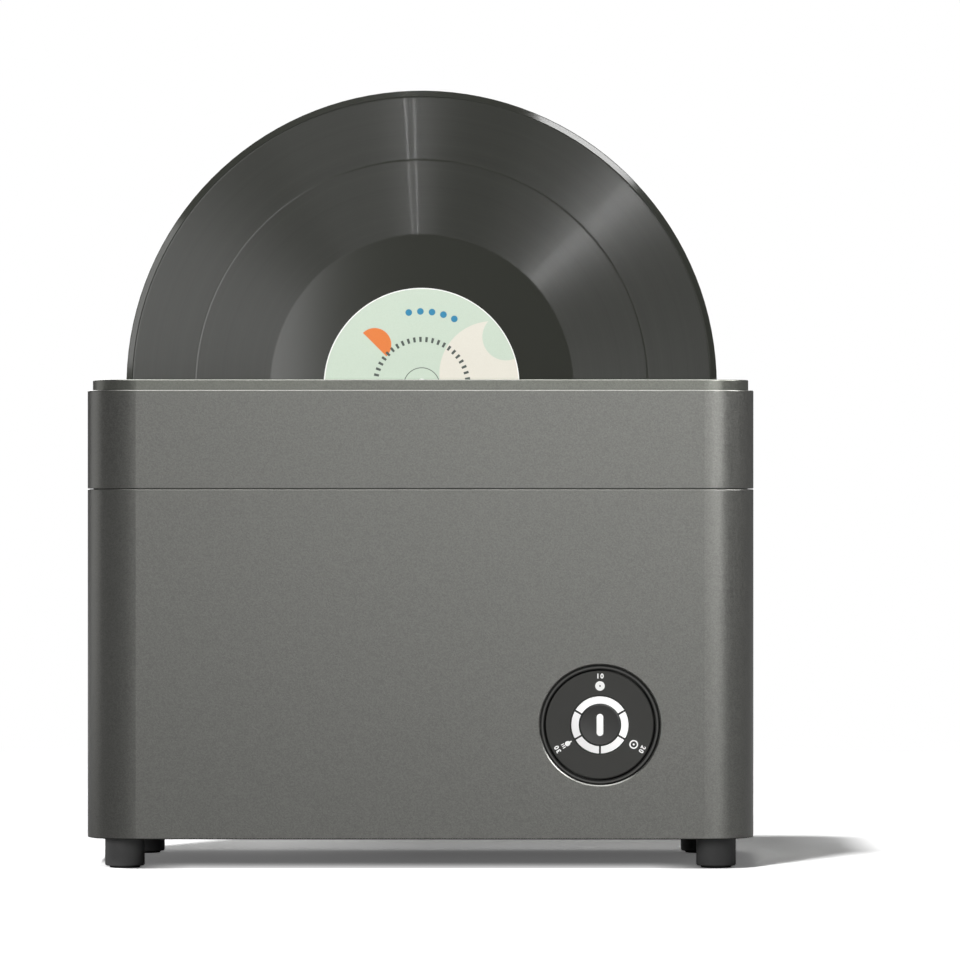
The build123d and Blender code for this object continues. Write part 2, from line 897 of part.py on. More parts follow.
def gear_outline(teeth, phase):
    """Involute gear outline about the origin, with its first tooth at the given angle in degrees."""
    pitch_radius = gear_module * teeth / 2
    base_radius = pitch_radius * cos(radians(20.0))
    tip_radius = pitch_radius + gear_module * 0.9
    root_radius = pitch_radius - gear_module * 1.2
    involute_at_pitch = tan(radians(20.0)) - radians(20.0)
    half_tooth = pi / (2 * teeth) - gear_backlash / (4 * pitch_radius)

    def flank_angle(radius):
        pressure = 0.0 if radius <= base_radius else sqrt((radius / base_radius) ** 2 - 1)
        involute = pressure - asin(pressure / sqrt(1 + pressure**2))
        return half_tooth + involute_at_pitch - involute

    flank_start = max(base_radius, root_radius + 0.1)
    radii = [root_radius, flank_start, pitch_radius, (pitch_radius + tip_radius) / 2, tip_radius]
    points = []
    for tooth in range(teeth):
        middle = radians(phase) + 2 * pi * tooth / teeth
        sides = [(r, middle - flank_angle(r)) for r in radii]
        sides += [(r, middle + flank_angle(r)) for r in reversed(radii)]
        points += [(r * cos(turn), r * sin(turn), 0) for r, turn in sides]
    return make_face(Polyline(*points, close=True))


def make_driven_gear():
    """Gear on the drive shaft; a tooth points straight down at the pinion."""
    outline = Pos(roller_x, roller_height) * gear_outline(gear_teeth, -90.0)
    hole = Pos(roller_x, roller_height) * Circle(shaft_radius)
    gear = across(outline - hole, gear_front, gear_rear)
    lightening = [
        rod(
            roller_x + gear_hole_circle * cos(radians(60.0 * i)),
            roller_height + gear_hole_circle * sin(radians(60.0 * i)),
            gear_hole_radius, gear_front, gear_rear,
        )
        for i in range(6)
    ]
    return gear - lightening


def make_motor_pinion():
    """Pinion on the motor shaft; a tooth space points straight up at the gear."""
    outline = Pos(roller_x, motor_height) * gear_outline(pinion_teeth, 90.0 + 180.0 / pinion_teeth)
    hole = Pos(roller_x, motor_height) * Circle(motor_shaft_radius)
    return across(outline - hole, gear_front, gear_rear)


def make_motor_shaft():
    return rod(roller_x, motor_height, motor_shaft_radius, gear_front, motor_front + motor_shaft_sink)


def make_drive_motor():
    """Gear motor: front boss, gearbox, can and terminal end."""
    can_rear = motor_rear - motor_end_cap
    boss_front = bracket_front - motor_boss_rise
    groove = motor_front + motor_groove_back
    body = rod(roller_x, motor_height, motor_radius, motor_front, can_rear)
    body = fillet(body.edges().group_by(Axis.Y)[-1], motor_can_edge)
    body += rod(roller_x, motor_height, motor_boss_radius, boss_front, motor_front)
    body += rod(roller_x, motor_height, motor_boss_radius, can_rear, motor_rear)
    waist = motor_radius - motor_groove_depth
    body -= tube(roller_x, motor_height, motor_radius, waist, groove, groove + motor_groove_width)
    shaft_hole = motor_shaft_radius + running_gap
    hole_rear = motor_front + motor_shaft_sink + fit_gap
    return body - rod(roller_x, motor_height, shaft_hole, boss_front, hole_rear)


def make_motor_bracket():
    """Bent plate that hangs from the deck and holds the motor's face."""
    left = roller_x - bracket_half_width
    right = roller_x + bracket_half_width
    bottom = motor_height - motor_radius - bracket_edge
    shelf_bottom = deck_bottom - bracket_thickness
    bracket = block(left, right, bracket_front, motor_front, bottom, deck_bottom)
    bracket += block(left, right, bracket_front, motor_front + bracket_shelf, shelf_bottom, deck_bottom)
    corners = bracket.edges().filter_by(Axis.Y).group_by(Axis.Z)[0]
    bracket = fillet(corners, bracket_corner)
    bracket -= rod(roller_x, motor_height, motor_boss_radius + fit_gap, bracket_front, motor_front)
    for x, y in bracket_screw_places:
        bracket -= post(x, y, screw_radius, shelf_bottom, deck_bottom)
    return bracket


def make_bracket_screws():
    seat = deck_bottom - bracket_thickness
    return group([screw_up(x, y, seat, bracket_screw_length) for x, y in bracket_screw_places])


# ---- ultrasonic transducers ----

transducer_height = record_axis_height - transducer_drop
head_rear = -tub_outside
head_front = head_rear - transducer_head_length
stack_front = head_front - 2 * piezo_thickness
back_front = stack_front - back_mass_length
bolt_rear = head_front + transducer_bolt_sink


def make_transducer_head(x):
    """Aluminium front mass that flares from the neck to the wide face on the tub's wall."""
    profile = [
        (0, head_rear),
        (transducer_face_radius, head_rear),
        (transducer_face_radius, head_rear - transducer_rim),
        (transducer_neck_radius + transducer_step, head_front + transducer_cone_margin),
        (transducer_neck_radius + transducer_step, head_front),
        (0, head_front),
    ]
    face = make_face(Polyline(*[(r, y, 0) for r, y in profile], close=True))
    head = Pos(x, 0, transducer_height) * revolve(face, Axis.Y)
    return head - rod(x, transducer_height, transducer_bolt_radius, head_front, bolt_rear)


def make_piezo_rings(x):
    """Two ceramic rings clamped between the masses."""
    middle = head_front - piezo_thickness
    return group(
        [
            tube(x, transducer_height, piezo_radius, piezo_hole_radius, middle, head_front),
            tube(x, transducer_height, piezo_radius, piezo_hole_radius, stack_front, middle),
        ]
    )


def make_transducer_back(x):
    """Steel back mass."""
    back = tube(x, transducer_height, piezo_radius, transducer_bolt_radius, back_front, stack_front)
    return chamfer(back.edges().group_by(Axis.Y)[0], back_mass_edge)


def make_transducer_bolt(x):
    """Socket-head bolt that preloads the stack."""
    bolt = rod(x, transducer_height, transducer_bolt_radius, back_front, bolt_rear)
    head_end = back_front - transducer_bolt_head
    bolt += rod(x, transducer_height, transducer_bolt_head_radius, head_end, back_front)
    socket = Pos(x, transducer_height) * RegularPolygon(bolt_socket_radius, 6)
    return bolt - across(socket, head_end, head_end + bolt_socket_depth)


# ---- drain valve ----

solenoid_rear = valve_rear + solenoid_length
armature_front = valve_rear + armature_gap
yoke_half = coil_radius + solenoid_plate_margin
coil_end = solenoid_rear - solenoid_plate


def make_drain_valve_body():
    """Block with an upright drain bore, a cross bore for the plunger and a spout."""
    outline = RectangleRounded(2 * valve_half_width, valve_rear - valve_front, valve_corner)
    body = Pos(0, (valve_front + valve_rear) / 2, 0) * upright(outline, valve_bottom, valve_top)
    body += post(0, 0, spout_radius, valve_bottom - spout_length, valve_bottom)
    body -= post(0, 0, drain_radius, valve_bottom - spout_length, valve_top)
    bore = valve_bore_radius + running_gap
    return body - rod(0, valve_height_centre, bore, -plunger_head - plunger_end_gap, valve_rear)


def make_valve_plunger():
    """Spool that covers the drain bore, on a rod with the steel armature."""
    plunger = rod(0, valve_height_centre, valve_bore_radius, -plunger_head, plunger_head)
    plunger += rod(0, valve_height_centre, valve_rod_radius, plunger_head, armature_front)
    return plunger + rod(
        0, valve_height_centre, armature_radius, armature_front, armature_front + armature_length
    )


def make_drain_solenoid():
    """Coil between two steel end plates, open at the valve's end."""
    yoke_bottom = valve_height_centre - yoke_half
    yoke_top = valve_height_centre + yoke_half
    coil = rod(0, valve_height_centre, coil_radius, valve_rear, solenoid_rear)
    for front in (valve_rear, coil_end):
        coil += block(-yoke_half, yoke_half, front, front + solenoid_plate, yoke_bottom, yoke_top)
    coil += block(-yoke_half, yoke_half, valve_rear, solenoid_rear, yoke_top - yoke_thickness, yoke_top)
    return coil - rod(0, valve_height_centre, armature_radius + running_gap, valve_rear, coil_end)


def make_valve_spring():
    """Coil spring behind the armature."""
    front = armature_front + armature_length + spring_front_gap
    length = coil_end - spring_rear_gap - front - 2 * spring_wire_radius
    path = Helix(length / spring_turns, length, spring_radius)
    coil = sweep(path.location_at(0) * Circle(spring_wire_radius), path)
    return Pos(0, front + spring_wire_radius, valve_height_centre) * Rot(-90, 0, 0) * coil


# ---- water tank ----


def grip_outline(grow):
    """Finger grip of the tank seen from the back, moved outwards."""
    return Pos(0, grip_middle) * RectangleRounded(
        grip_width + 2 * grow, grip_height + 2 * grow, grip_corner + grow
    )


def make_water_tank():
    """Open box with a scooped finger grip in its rear wall."""
    outer = block(-tank_half_width, tank_half_width, -tank_front, rear_face, tank_bottom, tank_top)
    outer = fillet(outer.edges().filter_by(Axis.Y).group_by(Axis.Z)[0], tank_edge_radius)
    inner = block(
        -tank_half_width + tank_wall, tank_half_width - tank_wall,
        -tank_front + tank_wall, rear_face - tank_wall, tank_bottom + tank_wall, tank_top,
    )
    inner = fillet(inner.edges().filter_by(Axis.Z), tank_corner_radius)
    tank = outer - inner
    tank += across(grip_outline(tank_wall), rear_face - grip_depth - tank_wall, rear_face - tank_wall)
    return tank - across(grip_outline(0), rear_face - grip_depth, rear_face)


def make_tank_lid():
    """Flat lid with an inlet under the spout, a locating rim and a pouring hole."""
    lid = block(-tank_half_width, tank_half_width, -tank_front, rear_face, tank_top, tank_lid_top)
    lid = fillet(lid.edges().filter_by(Axis.Y).group_by(Axis.Z)[-1], tank_edge_radius)
    width = 2 * (tank_half_width - tank_wall - fit_gap)
    front = -tank_front + tank_wall + fit_gap
    back = rear_face - grip_depth - 2 * tank_wall - lid_rim_back_gap
    radius = tank_corner_radius - fit_gap
    rim = RectangleRounded(width, back - front, radius)
    rim -= RectangleRounded(
        width - 2 * lid_rim_thickness, back - front - 2 * lid_rim_thickness, radius - lid_rim_thickness
    )
    lid += Pos(0, (front + back) / 2, 0) * upright(rim, tank_top - lid_rim_depth, tank_top)
    lid -= post(0, 0, tank_inlet_radius, tank_top, tank_lid_top)
    pour_x, pour_y = tank_half_width - pour_hole_inset, pour_hole_inset - tank_front
    return lid - post(pour_x, pour_y, pour_hole_radius, tank_top, tank_lid_top)


# ---- drying air ----


volute_sweep = 315.0
volute_steps = 9
volute_start_angle = 135.0
tongue_x = -blower_x + volute_start_radius * cos(radians(volute_start_angle))
outlet_left = -blower_x - volute_end_radius


def volute_outline(grow):
    """Spiral chamber of the blower with its outlet pointing up, seen from the front."""
    spiral = []
    for i in range(volute_steps + 1):
        share = i / volute_steps
        radius = volute_start_radius + (volute_end_radius - volute_start_radius) * share + grow
        turn = radians(volute_start_angle - volute_sweep * share)
        spiral.append((radius * cos(turn), radius * sin(turn), 0))
    chamber = make_face([Spline(*spiral), Line(spiral[-1], spiral[0])])
    outlet_width = tongue_x - outlet_left + 2 * grow
    outlet = Pos((tongue_x + outlet_left) / 2, (blower_height + outlet_top) / 2) * Rectangle(
        outlet_width, volute_outlet_rise
    )
    return Pos(-blower_x, blower_height) * chamber + outlet


def duct_outline(grow):
    """Plan of the duct, which continues the blower's outlet."""
    width = tongue_x - outlet_left + 2 * (duct_wall + grow)
    middle = (outlet_left + tongue_x) / 2, (blower_front + blower_rear) / 2
    return Pos(*middle) * Rectangle(width, blower_depth + 2 * grow)


def make_blower_housing():
    """Two-plate volute with an intake at the rear, an open outlet on top."""
    body = across(volute_outline(blower_wall), blower_front, blower_rear)
    body -= across(volute_outline(0), blower_front + blower_wall, blower_rear - blower_wall)
    return body - rod(-blower_x, blower_height, intake_radius, blower_rear - blower_wall, blower_rear)


def make_blower_motor():
    """Stator in the impeller's hub, with its shaft."""
    front = blower_front + blower_wall
    rear = front + blower_motor_length
    motor = rod(-blower_x, blower_height, blower_motor_radius, front, rear)
    return motor + rod(-blower_x, blower_height, blower_shaft_radius, rear, rear + blower_shaft_reach)


def make_blower_impeller():
    """Back plate, hub cup and forward-curved blades under a front ring."""
    front = blower_front + blower_wall + impeller_front_gap
    rear = blower_rear - blower_wall - impeller_rear_gap
    hub_rear = front + impeller_hub_length
    hub_bore = blower_motor_radius + hub_motor_gap
    wheel = tube(0, 0, impeller_radius, hub_bore, front, front + impeller_plate)
    wheel += tube(0, 0, impeller_hub_radius, hub_bore, front, hub_rear)
    shaft_bore = blower_shaft_radius + running_gap
    wheel += tube(0, 0, impeller_hub_radius, shaft_bore, hub_rear - impeller_plate, hub_rear)
    wheel += tube(0, 0, impeller_radius, impeller_radius - impeller_ring_width, rear - impeller_plate, rear)
    outer = sqrt((impeller_radius - impeller_tip_gap) ** 2 - (blade_lean + blade_thickness) ** 2)
    inner = outer - blade_reach
    middle = (inner + outer) / 2
    for i in range(impeller_blades):
        hollow = ThreePointArc((inner, 0, 0), (middle, blade_bow, 0), (outer, blade_lean, 0))
        crown = ThreePointArc(
            (outer, blade_lean + blade_thickness, 0),
            (middle, blade_bow + blade_thickness, 0),
            (inner, blade_thickness, 0),
        )
        blade = make_face([hollow, Line(hollow @ 1, crown @ 0), crown, Line(crown @ 1, hollow @ 0)])
        wheel += across(Rot(0, 0, 360.0 * i / impeller_blades) * blade, front, rear)
    return Pos(-blower_x, 0, blower_height) * wheel


def make_air_duct():
    """Square tube from the blower's outlet through the deck."""
    tube_outline = duct_outline(0) - duct_outline(-duct_wall)
    return upright(tube_outline, outlet_top, tub_top)


def make_air_filter():
    """Foam block in the housing's pocket."""
    rear = rear_inside - fit_gap
    return across(filter_outline(filter_side, filter_corner), rear - filter_thickness, rear)


def make_filter_cover():
    """Slotted cover that lies flush with the back of the housing."""
    cover = across(filter_outline(filter_cover_side, filter_cover_corner), rear_inside, rear_face)
    cover = chamfer(cover.edges().group_by(Axis.Y)[-1], edge_break / 2)
    pitch = filter_slot_width * 2
    for i in range(filter_slot_count):
        x = -blower_x + (i - (filter_slot_count - 1) / 2) * pitch
        slot = Pos(x, blower_height) * RectangleRounded(
            filter_slot_width, filter_slot_length, filter_slot_width * 0.48
        )
        cover -= across(slot, rear_inside, rear_face)
    return cover


# ---- control panel ----


def panel_tube(outer, inner, front, rear):
    """Tube about the panel's axis, with depths counted back from the casing's front face."""
    return tube(panel_x, panel_height, outer, inner, front_face + front, front_face + rear)


def panel_rod(radius, front, rear, x=0.0, z=0.0):
    return rod(panel_x + x, panel_height + z, radius, front_face + front, front_face + rear)


icon_angles = (90.0, 210.0, 330.0)
screw_angles = (30.0, 150.0, 270.0)
button_front = mode_disc_recess - button_rise
lip_front = shoulder + fit_gap
lip_rear = lip_front + mode_disc_lip_height


def around_panel(radius, angle):
    return radius * cos(radians(angle)), radius * sin(radians(angle))


panel_screw_places = [
    (panel_x + x, panel_height + z)
    for x, z in (around_panel(bezel_flange_radius - panel_screw_inset, angle) for angle in screw_angles)
]


def make_panel_bezel():
    """Thin front ring, flange behind the wall and a barrel that carries the board."""
    bezel = panel_tube(panel_hole_radius - fit_gap, bezel_inner_radius, bezel_recess, shoulder)
    front_edges = bezel.edges().group_by(Axis.Y)[0]
    bezel = chamfer(front_edges, bezel_edge)
    bezel += panel_tube(bezel_flange_radius, bezel_inner_radius, casing_wall, shoulder)
    barrel_inside = mode_disc_radius + bezel_barrel_gap
    bezel += panel_tube(bezel_flange_radius - bezel_barrel_step, barrel_inside, shoulder, bezel_depth)
    return bezel


def make_mode_disc():
    """Press disc with a skirt, a retaining flange and three stems over the switches."""
    front = mode_disc_recess
    back = front + mode_disc_thickness
    disc = panel_tube(mode_disc_radius, mode_disc_inner_radius, front, back)
    disc = chamfer(disc.edges().group_by(Axis.Y)[0], mode_disc_edge)
    skirt_inside = mode_disc_radius - mode_disc_skirt
    disc += panel_tube(mode_disc_radius, skirt_inside, back, lip_rear)
    disc += panel_tube(mode_disc_radius + mode_disc_lip, skirt_inside, lip_front, lip_rear)
    stem_end = bezel_depth - switch_height - mode_disc_travel - stem_gap
    for angle in icon_angles:
        x, z = around_panel(mode_disc_stem_radius, angle)
        disc += panel_rod(stem_radius, back, stem_end, x, z)
    return disc


def make_light_carrier():
    """Dark sleeve on the board that holds the light segments apart."""
    front = mode_disc_recess + light_thickness
    head_rear = front + light_carrier_head
    carrier = panel_tube(light_outer_radius, light_inner_radius + light_inner_gap, front, head_rear)
    return carrier + panel_tube(
        light_outer_radius, light_outer_radius - light_carrier_wall, head_rear, bezel_depth
    )


def make_light_ring():
    """Ring window split into a long top segment and four shorter ones."""
    front = front_face + mode_disc_recess
    ring = Circle(light_outer_radius) - Circle(light_inner_radius + light_inner_gap)
    for angle in (30.0, 150.0, 210.0, 270.0, 330.0):
        cut = Rot(0, 0, angle) * (Pos(light_outer_radius, 0) * Rectangle(2 * light_outer_radius, light_gap))
        ring -= cut
    return group([across(Pos(panel_x, panel_height) * ring, front, front + light_thickness)])


def make_power_button():
    """Cupped centre button with a stem over its switch."""
    top_rear = button_front + button_top
    button = panel_rod(button_radius, button_front, top_rear)
    button = fillet(button.edges().group_by(Axis.Y)[0], button_edge)
    button_rear = button_front + button_length
    button += panel_tube(button_radius, button_radius - button_skirt, top_rear, button_rear)
    stem_end = bezel_depth - switch_height - button_travel - stem_gap
    button += panel_rod(stem_radius, top_rear, stem_end)
    return button - make_power_mark()


def make_power_mark():
    """White bar inlaid in the button."""
    front = front_face + button_front
    mark = Pos(panel_x, panel_height) * SlotOverall(mark_height, mark_width, rotation=90)
    return across(mark, front, front + mark_depth)


def make_panel_board():
    """Round board with four push switches and lamps under the ring."""
    board = rod(panel_x, panel_height, bezel_flange_radius, board_front, board_rear)
    places = [(0.0, 0.0)] + [around_panel(mode_disc_stem_radius, angle) for angle in icon_angles]
    cap_front = board_front - switch_height
    body_front = board_front - switch_body_height
    for x, z in places:
        left, bottom = panel_x + x - switch_side / 2, panel_height + z - switch_side / 2
        board += block(left, left + switch_side, body_front, board_front, bottom, bottom + switch_side)
        board += rod(panel_x + x, panel_height + z, switch_cap_radius, cap_front, body_front)
    left = panel_x - lamp_socket_width / 2
    bottom = panel_height - bezel_flange_radius + lamp_socket_rise
    board += block(
        left,
        left + lamp_socket_width,
        board_rear,
        board_rear + lamp_socket_depth,
        bottom,
        bottom + lamp_socket_height,
    )
    for x, z in panel_screw_places:
        board -= rod(x, z, panel_screw_radius, board_front, board_rear)
    return board


def make_panel_screws():
    """Three screws through the board into the bezel's barrel."""
    head_rear = board_rear + panel_screw_head_height
    screws = []
    for x, z in panel_screw_places:
        shank = rod(x, z, panel_screw_radius - running_gap, board_front, board_rear)
        screws.append(shank + rod(x, z, panel_screw_head_radius, board_rear, head_rear))
    return group(screws)


# ---- main board and power inlet ----

board_bottom = base_top + standoff_height
board_top = board_bottom + board_thickness
board_left = -main_board_x - main_board_width / 2
board_half_length = main_board_length / 2
board_standoffs = [
    (
        -main_board_x + sx * (main_board_width / 2 - standoff_inset),
        sy * (main_board_length / 2 - standoff_inset),
    )
    for sx in (-1, 1)
    for sy in (-1, 1)
]


def on_board(left, back, width, length, height):
    """Block on the main board, placed from the board's left and front edges."""
    x, y = board_left + left, back - board_half_length
    return block(x, x + width, y, y + length, board_top, board_top + height)


def make_main_board():
    """Driver board with its sockets and chips."""
    board_right = board_left + main_board_width
    board = block(board_left, board_right, -board_half_length, board_half_length, board_bottom, board_top)
    for i in range(socket_count):
        back = socket_back + socket_pitch * i
        board += on_board(socket_edge, back, socket_width, socket_length, socket_height)
    chip_front = main_board_length - chip_back - chip_side
    board += on_board(chip_left, chip_front, chip_side, chip_side, chip_height)
    small_back = main_board_length - small_chip_back - small_chip_width
    board += on_board(small_chip_left, small_back, small_chip_length, small_chip_width, chip_height)
    for x, y in board_standoffs:
        board -= post(x, y, board_screw_radius, board_bottom, board_top)
    return board


def make_board_screws():
    screws = []
    for x, y in board_standoffs:
        shank = post(x, y, board_screw_radius - running_gap, board_bottom - board_screw_sink, board_top)
        head_top = board_top + board_screw_head_height
        screws.append(shank + post(x, y, board_screw_head_radius, board_top, head_top))
    return group(screws)


def make_driver_transformer():
    """Ferrite core with a leg on each side of its winding."""
    core_place = (transformer_left, transformer_front)
    core = on_board(*core_place, transformer_width, transformer_depth, transformer_height)
    core = fillet(core.edges().filter_by(Axis.Z), transformer_corner)
    window_height = transformer_height - 2 * core_yoke
    front_window = transformer_front + core_leg
    rear_window = transformer_front + transformer_depth - core_leg - core_window
    for back in (front_window, rear_window):
        window = on_board(transformer_left, back, transformer_width, core_window, window_height)
        core -= Pos(0, 0, core_yoke) * window
    return core


def make_heat_sink():
    """Finned extrusion for the driver's output stage."""
    middle = board_half_length - sink_spine / 2
    sink = on_board(sink_left, middle, sink_width, sink_spine, sink_height)
    pitch = (sink_width - fin_thickness) / (fin_count - 1)
    for i in range(fin_count):
        front = board_half_length - sink_depth / 2
        sink += on_board(sink_left + pitch * i, front, fin_thickness, sink_depth, sink_height)
    return sink


def make_filter_capacitors():
    """Three upright capacitors in a row."""
    cans = []
    for i in range(capacitor_count):
        x = board_left + main_board_width - capacitor_side - capacitor_pitch * i
        can_top = board_top + capacitor_height
        can = post(x, board_half_length - capacitor_back, capacitor_radius, board_top, can_top)
        cans.append(fillet(can.edges().group_by(Axis.Z)[-1], capacitor_edge))
    return group(cans)


def make_power_jack():
    """Barrel inlet with its centre pin."""
    bore_floor = rear_face - jack_bore_depth
    jack = rod(jack_x, jack_height, jack_radius, rear_face - jack_length, rear_face)
    flange_front = rear_inside - jack_flange_thickness
    jack += rod(jack_x, jack_height, jack_radius + jack_flange, flange_front, rear_inside)
    jack -= rod(jack_x, jack_height, jack_bore_radius, bore_floor, rear_face)
    return jack + rod(jack_x, jack_height, jack_pin_radius, bore_floor, rear_face - jack_pin_sink)


# ---- build ----


def make_parts():
    parts = {
        "housing": make_housing(),
        "base_plate": make_base_plate(),
        "deck_plate": make_deck_plate(),
        "base_screws": make_column_screws(housing_bottom + screw_head_height, True),
        "deck_screws": make_column_screws(deck_top, False),
        "foot_screws": make_foot_screws(),
        "top_cover": make_top_cover(),
        "slot_tray": make_slot_tray(),
        "throat_gasket": make_throat_gasket(),
        "tray_screws": make_tray_screws(),
        "record_disc": make_record_disc(),
        "record_label_front": make_record_label(-1),
        "record_label_back": make_record_label(1),
        "wash_tub": make_wash_tub(),
        "tub_strainer": make_tub_strainer(),
        "tub_screws": make_tub_screws(),
        "drive_roller": make_drive_roller(),
        "drive_shaft": make_drive_shaft(),
        "shaft_seal": make_shaft_seal(),
        "shaft_bush": make_shaft_bush(),
        "driven_gear": make_driven_gear(),
        "motor_pinion": make_motor_pinion(),
        "motor_shaft": make_motor_shaft(),
        "drive_motor": make_drive_motor(),
        "motor_bracket": make_motor_bracket(),
        "bracket_screws": make_bracket_screws(),
        "idler_roller": make_idler_roller(),
        "idler_axle": make_idler_axle(),
        "drain_valve_body": make_drain_valve_body(),
        "valve_plunger": make_valve_plunger(),
        "valve_spring": make_valve_spring(),
        "drain_solenoid": make_drain_solenoid(),
        "water_tank": make_water_tank(),
        "tank_lid": make_tank_lid(),
        "blower_housing": make_blower_housing(),
        "blower_motor": make_blower_motor(),
        "blower_impeller": make_blower_impeller(),
        "air_duct": make_air_duct(),
        "air_filter": make_air_filter(),
        "filter_cover": make_filter_cover(),
        "panel_bezel": make_panel_bezel(),
        "mode_disc": make_mode_disc(),
        "light_carrier": make_light_carrier(),
        "light_ring": make_light_ring(),
        "power_button": make_power_button(),
        "power_mark": make_power_mark(),
        "panel_board": make_panel_board(),
        "panel_screws": make_panel_screws(),
        "main_board": make_main_board(),
        "board_screws": make_board_screws(),
        "driver_transformer": make_driver_transformer(),
        "heat_sink": make_heat_sink(),
        "filter_capacitors": make_filter_capacitors(),
        "power_jack": make_power_jack(),
    }
    parts["feet"] = group([make_foot(x, y) for x, y in foot_places.values()])
    parts["foot_pads"] = group([make_foot_pad(x, y) for x, y in foot_places.values()])
    transducers = (-transducer_x, transducer_x)
    parts["transducer_heads"] = group([make_transducer_head(x) for x in transducers])
    parts["piezo_rings"] = group([make_piezo_rings(x) for x in transducers])
    parts["transducer_back_masses"] = group([make_transducer_back(x) for x in transducers])
    parts["transducer_bolts"] = group([make_transducer_bolt(x) for x in transducers])
    return parts


os.makedirs("parts", exist_ok=True)
for name, shape in make_parts().items():
    export_step(shape, f"parts/{name}.step")
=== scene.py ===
import json
import math

import bpy
from mathutils import Matrix, Vector

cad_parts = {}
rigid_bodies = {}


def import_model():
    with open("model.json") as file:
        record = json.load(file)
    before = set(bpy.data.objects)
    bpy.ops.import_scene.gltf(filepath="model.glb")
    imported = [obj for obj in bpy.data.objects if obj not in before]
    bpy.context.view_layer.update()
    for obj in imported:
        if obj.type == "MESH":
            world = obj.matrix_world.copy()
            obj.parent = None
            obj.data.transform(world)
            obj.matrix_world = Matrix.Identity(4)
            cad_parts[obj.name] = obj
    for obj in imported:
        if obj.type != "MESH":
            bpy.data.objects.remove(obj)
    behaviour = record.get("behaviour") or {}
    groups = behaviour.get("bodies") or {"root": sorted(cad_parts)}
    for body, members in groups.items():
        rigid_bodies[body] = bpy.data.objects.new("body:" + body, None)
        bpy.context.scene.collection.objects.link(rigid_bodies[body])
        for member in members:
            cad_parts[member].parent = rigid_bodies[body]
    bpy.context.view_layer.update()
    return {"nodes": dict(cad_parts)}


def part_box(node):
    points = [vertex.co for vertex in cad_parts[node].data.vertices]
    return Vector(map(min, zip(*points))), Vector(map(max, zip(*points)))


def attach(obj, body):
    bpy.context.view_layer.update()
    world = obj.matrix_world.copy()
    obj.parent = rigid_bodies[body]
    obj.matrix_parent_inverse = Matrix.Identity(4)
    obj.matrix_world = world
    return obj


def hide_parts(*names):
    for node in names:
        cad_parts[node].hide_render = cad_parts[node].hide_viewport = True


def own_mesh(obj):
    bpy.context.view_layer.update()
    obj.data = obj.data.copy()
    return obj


# Dresses the record cleaning machine: finishes for its casing, record, panel and works, the printed marks on
# its panel, the drain valve's spring, and the stage that it stands on. Metres, in the frame's own axes.

bl_info = {
    "name": "Record Cleaner Finishes",
    "version": (1, 0, 0),
    "blender": (4, 5, 0),
    "location": "View3D > Sidebar > Record Cleaner",
    "description": "Finishes, panel marks and studio for an upright record cleaning machine",
    "category": "Object",
}

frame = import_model()
nodes = frame["nodes"]

MM = 0.001
BLACK = (0.0, 0.0, 0.0)
WHITE = (1.0, 1.0, 1.0)
BRASS = (0.72, 0.52, 0.22)
STEEL = (0.5, 0.5, 0.5)
SHAFT_STEEL = (0.56, 0.56, 0.55)
PRINT_EDGE = 0.12 * MM  # half the soft edge of what a material draws
PRINT_ROOT = 0.01 * MM  # how far raised print reaches into the disc
FACE_FRONT = math.pi / 2  # turn about X that faces a flat shape to the front
TOP, LOWER_RIGHT, LOWER_LEFT = 90.0, -30.0, 210.0  # the icons' angles round the panel
RECORD_NODES = ("record_disc", "record_label_front", "record_label_back")


def middle_of(node):
    """Centre of a node's box."""
    low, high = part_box(node)
    return (low + high) / 2


record_axis = middle_of("record_disc")
panel_axis = middle_of("power_button")
disc_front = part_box("mode_disc")[0].y
casing_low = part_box("housing")[0]


def shade_of(red, green, blue):
    """Linear colour of a display colour given from 0 to 255."""
    channels = []
    for value in (red, green, blue):
        share = value / 255.0
        linear = share / 12.92 if share <= 0.04045 else ((share + 0.055) / 1.055) ** 2.4
        channels.append(linear)
    return tuple(channels)


# ---- settings ----


def length_setting(name, description, millimetres):
    size = millimetres * MM
    return bpy.props.FloatProperty(
        name=name, description=description, default=size, unit="LENGTH", subtype="DISTANCE", precision=5
    )


def colour_setting(name, place, red, green, blue):
    description = f"Colour of {place}"
    shade = shade_of(red, green, blue)
    return bpy.props.FloatVectorProperty(
        name=name, description=description, default=shade, subtype="COLOR", size=3, min=0.0, max=1.0
    )


def number_setting(name, description, default):
    return bpy.props.FloatProperty(name=name, description=description, default=default)


def power_setting(name, lamp, watts):
    return number_setting(f"{name} power", f"Power of {lamp}, in watts", watts)


class CasingFinish(bpy.types.PropertyGroup):
    """Colours and grain of the painted casing, the tray and the feet."""

    paint: colour_setting("Paint", "the metallic casing paint", 98, 98, 95)
    flake: length_setting("Flake", "Size of the metal flakes in the paint", 0.55)
    roughness: number_setting("Roughness", "How broadly the paint spreads its highlight", 0.33)
    tray: colour_setting("Tray", "the slot tray and its raised rim", 97, 98, 93)
    foot: colour_setting("Foot", "the moulded feet", 66, 66, 66)
    rubber: colour_setting("Rubber", "the foot pads", 30, 30, 30)


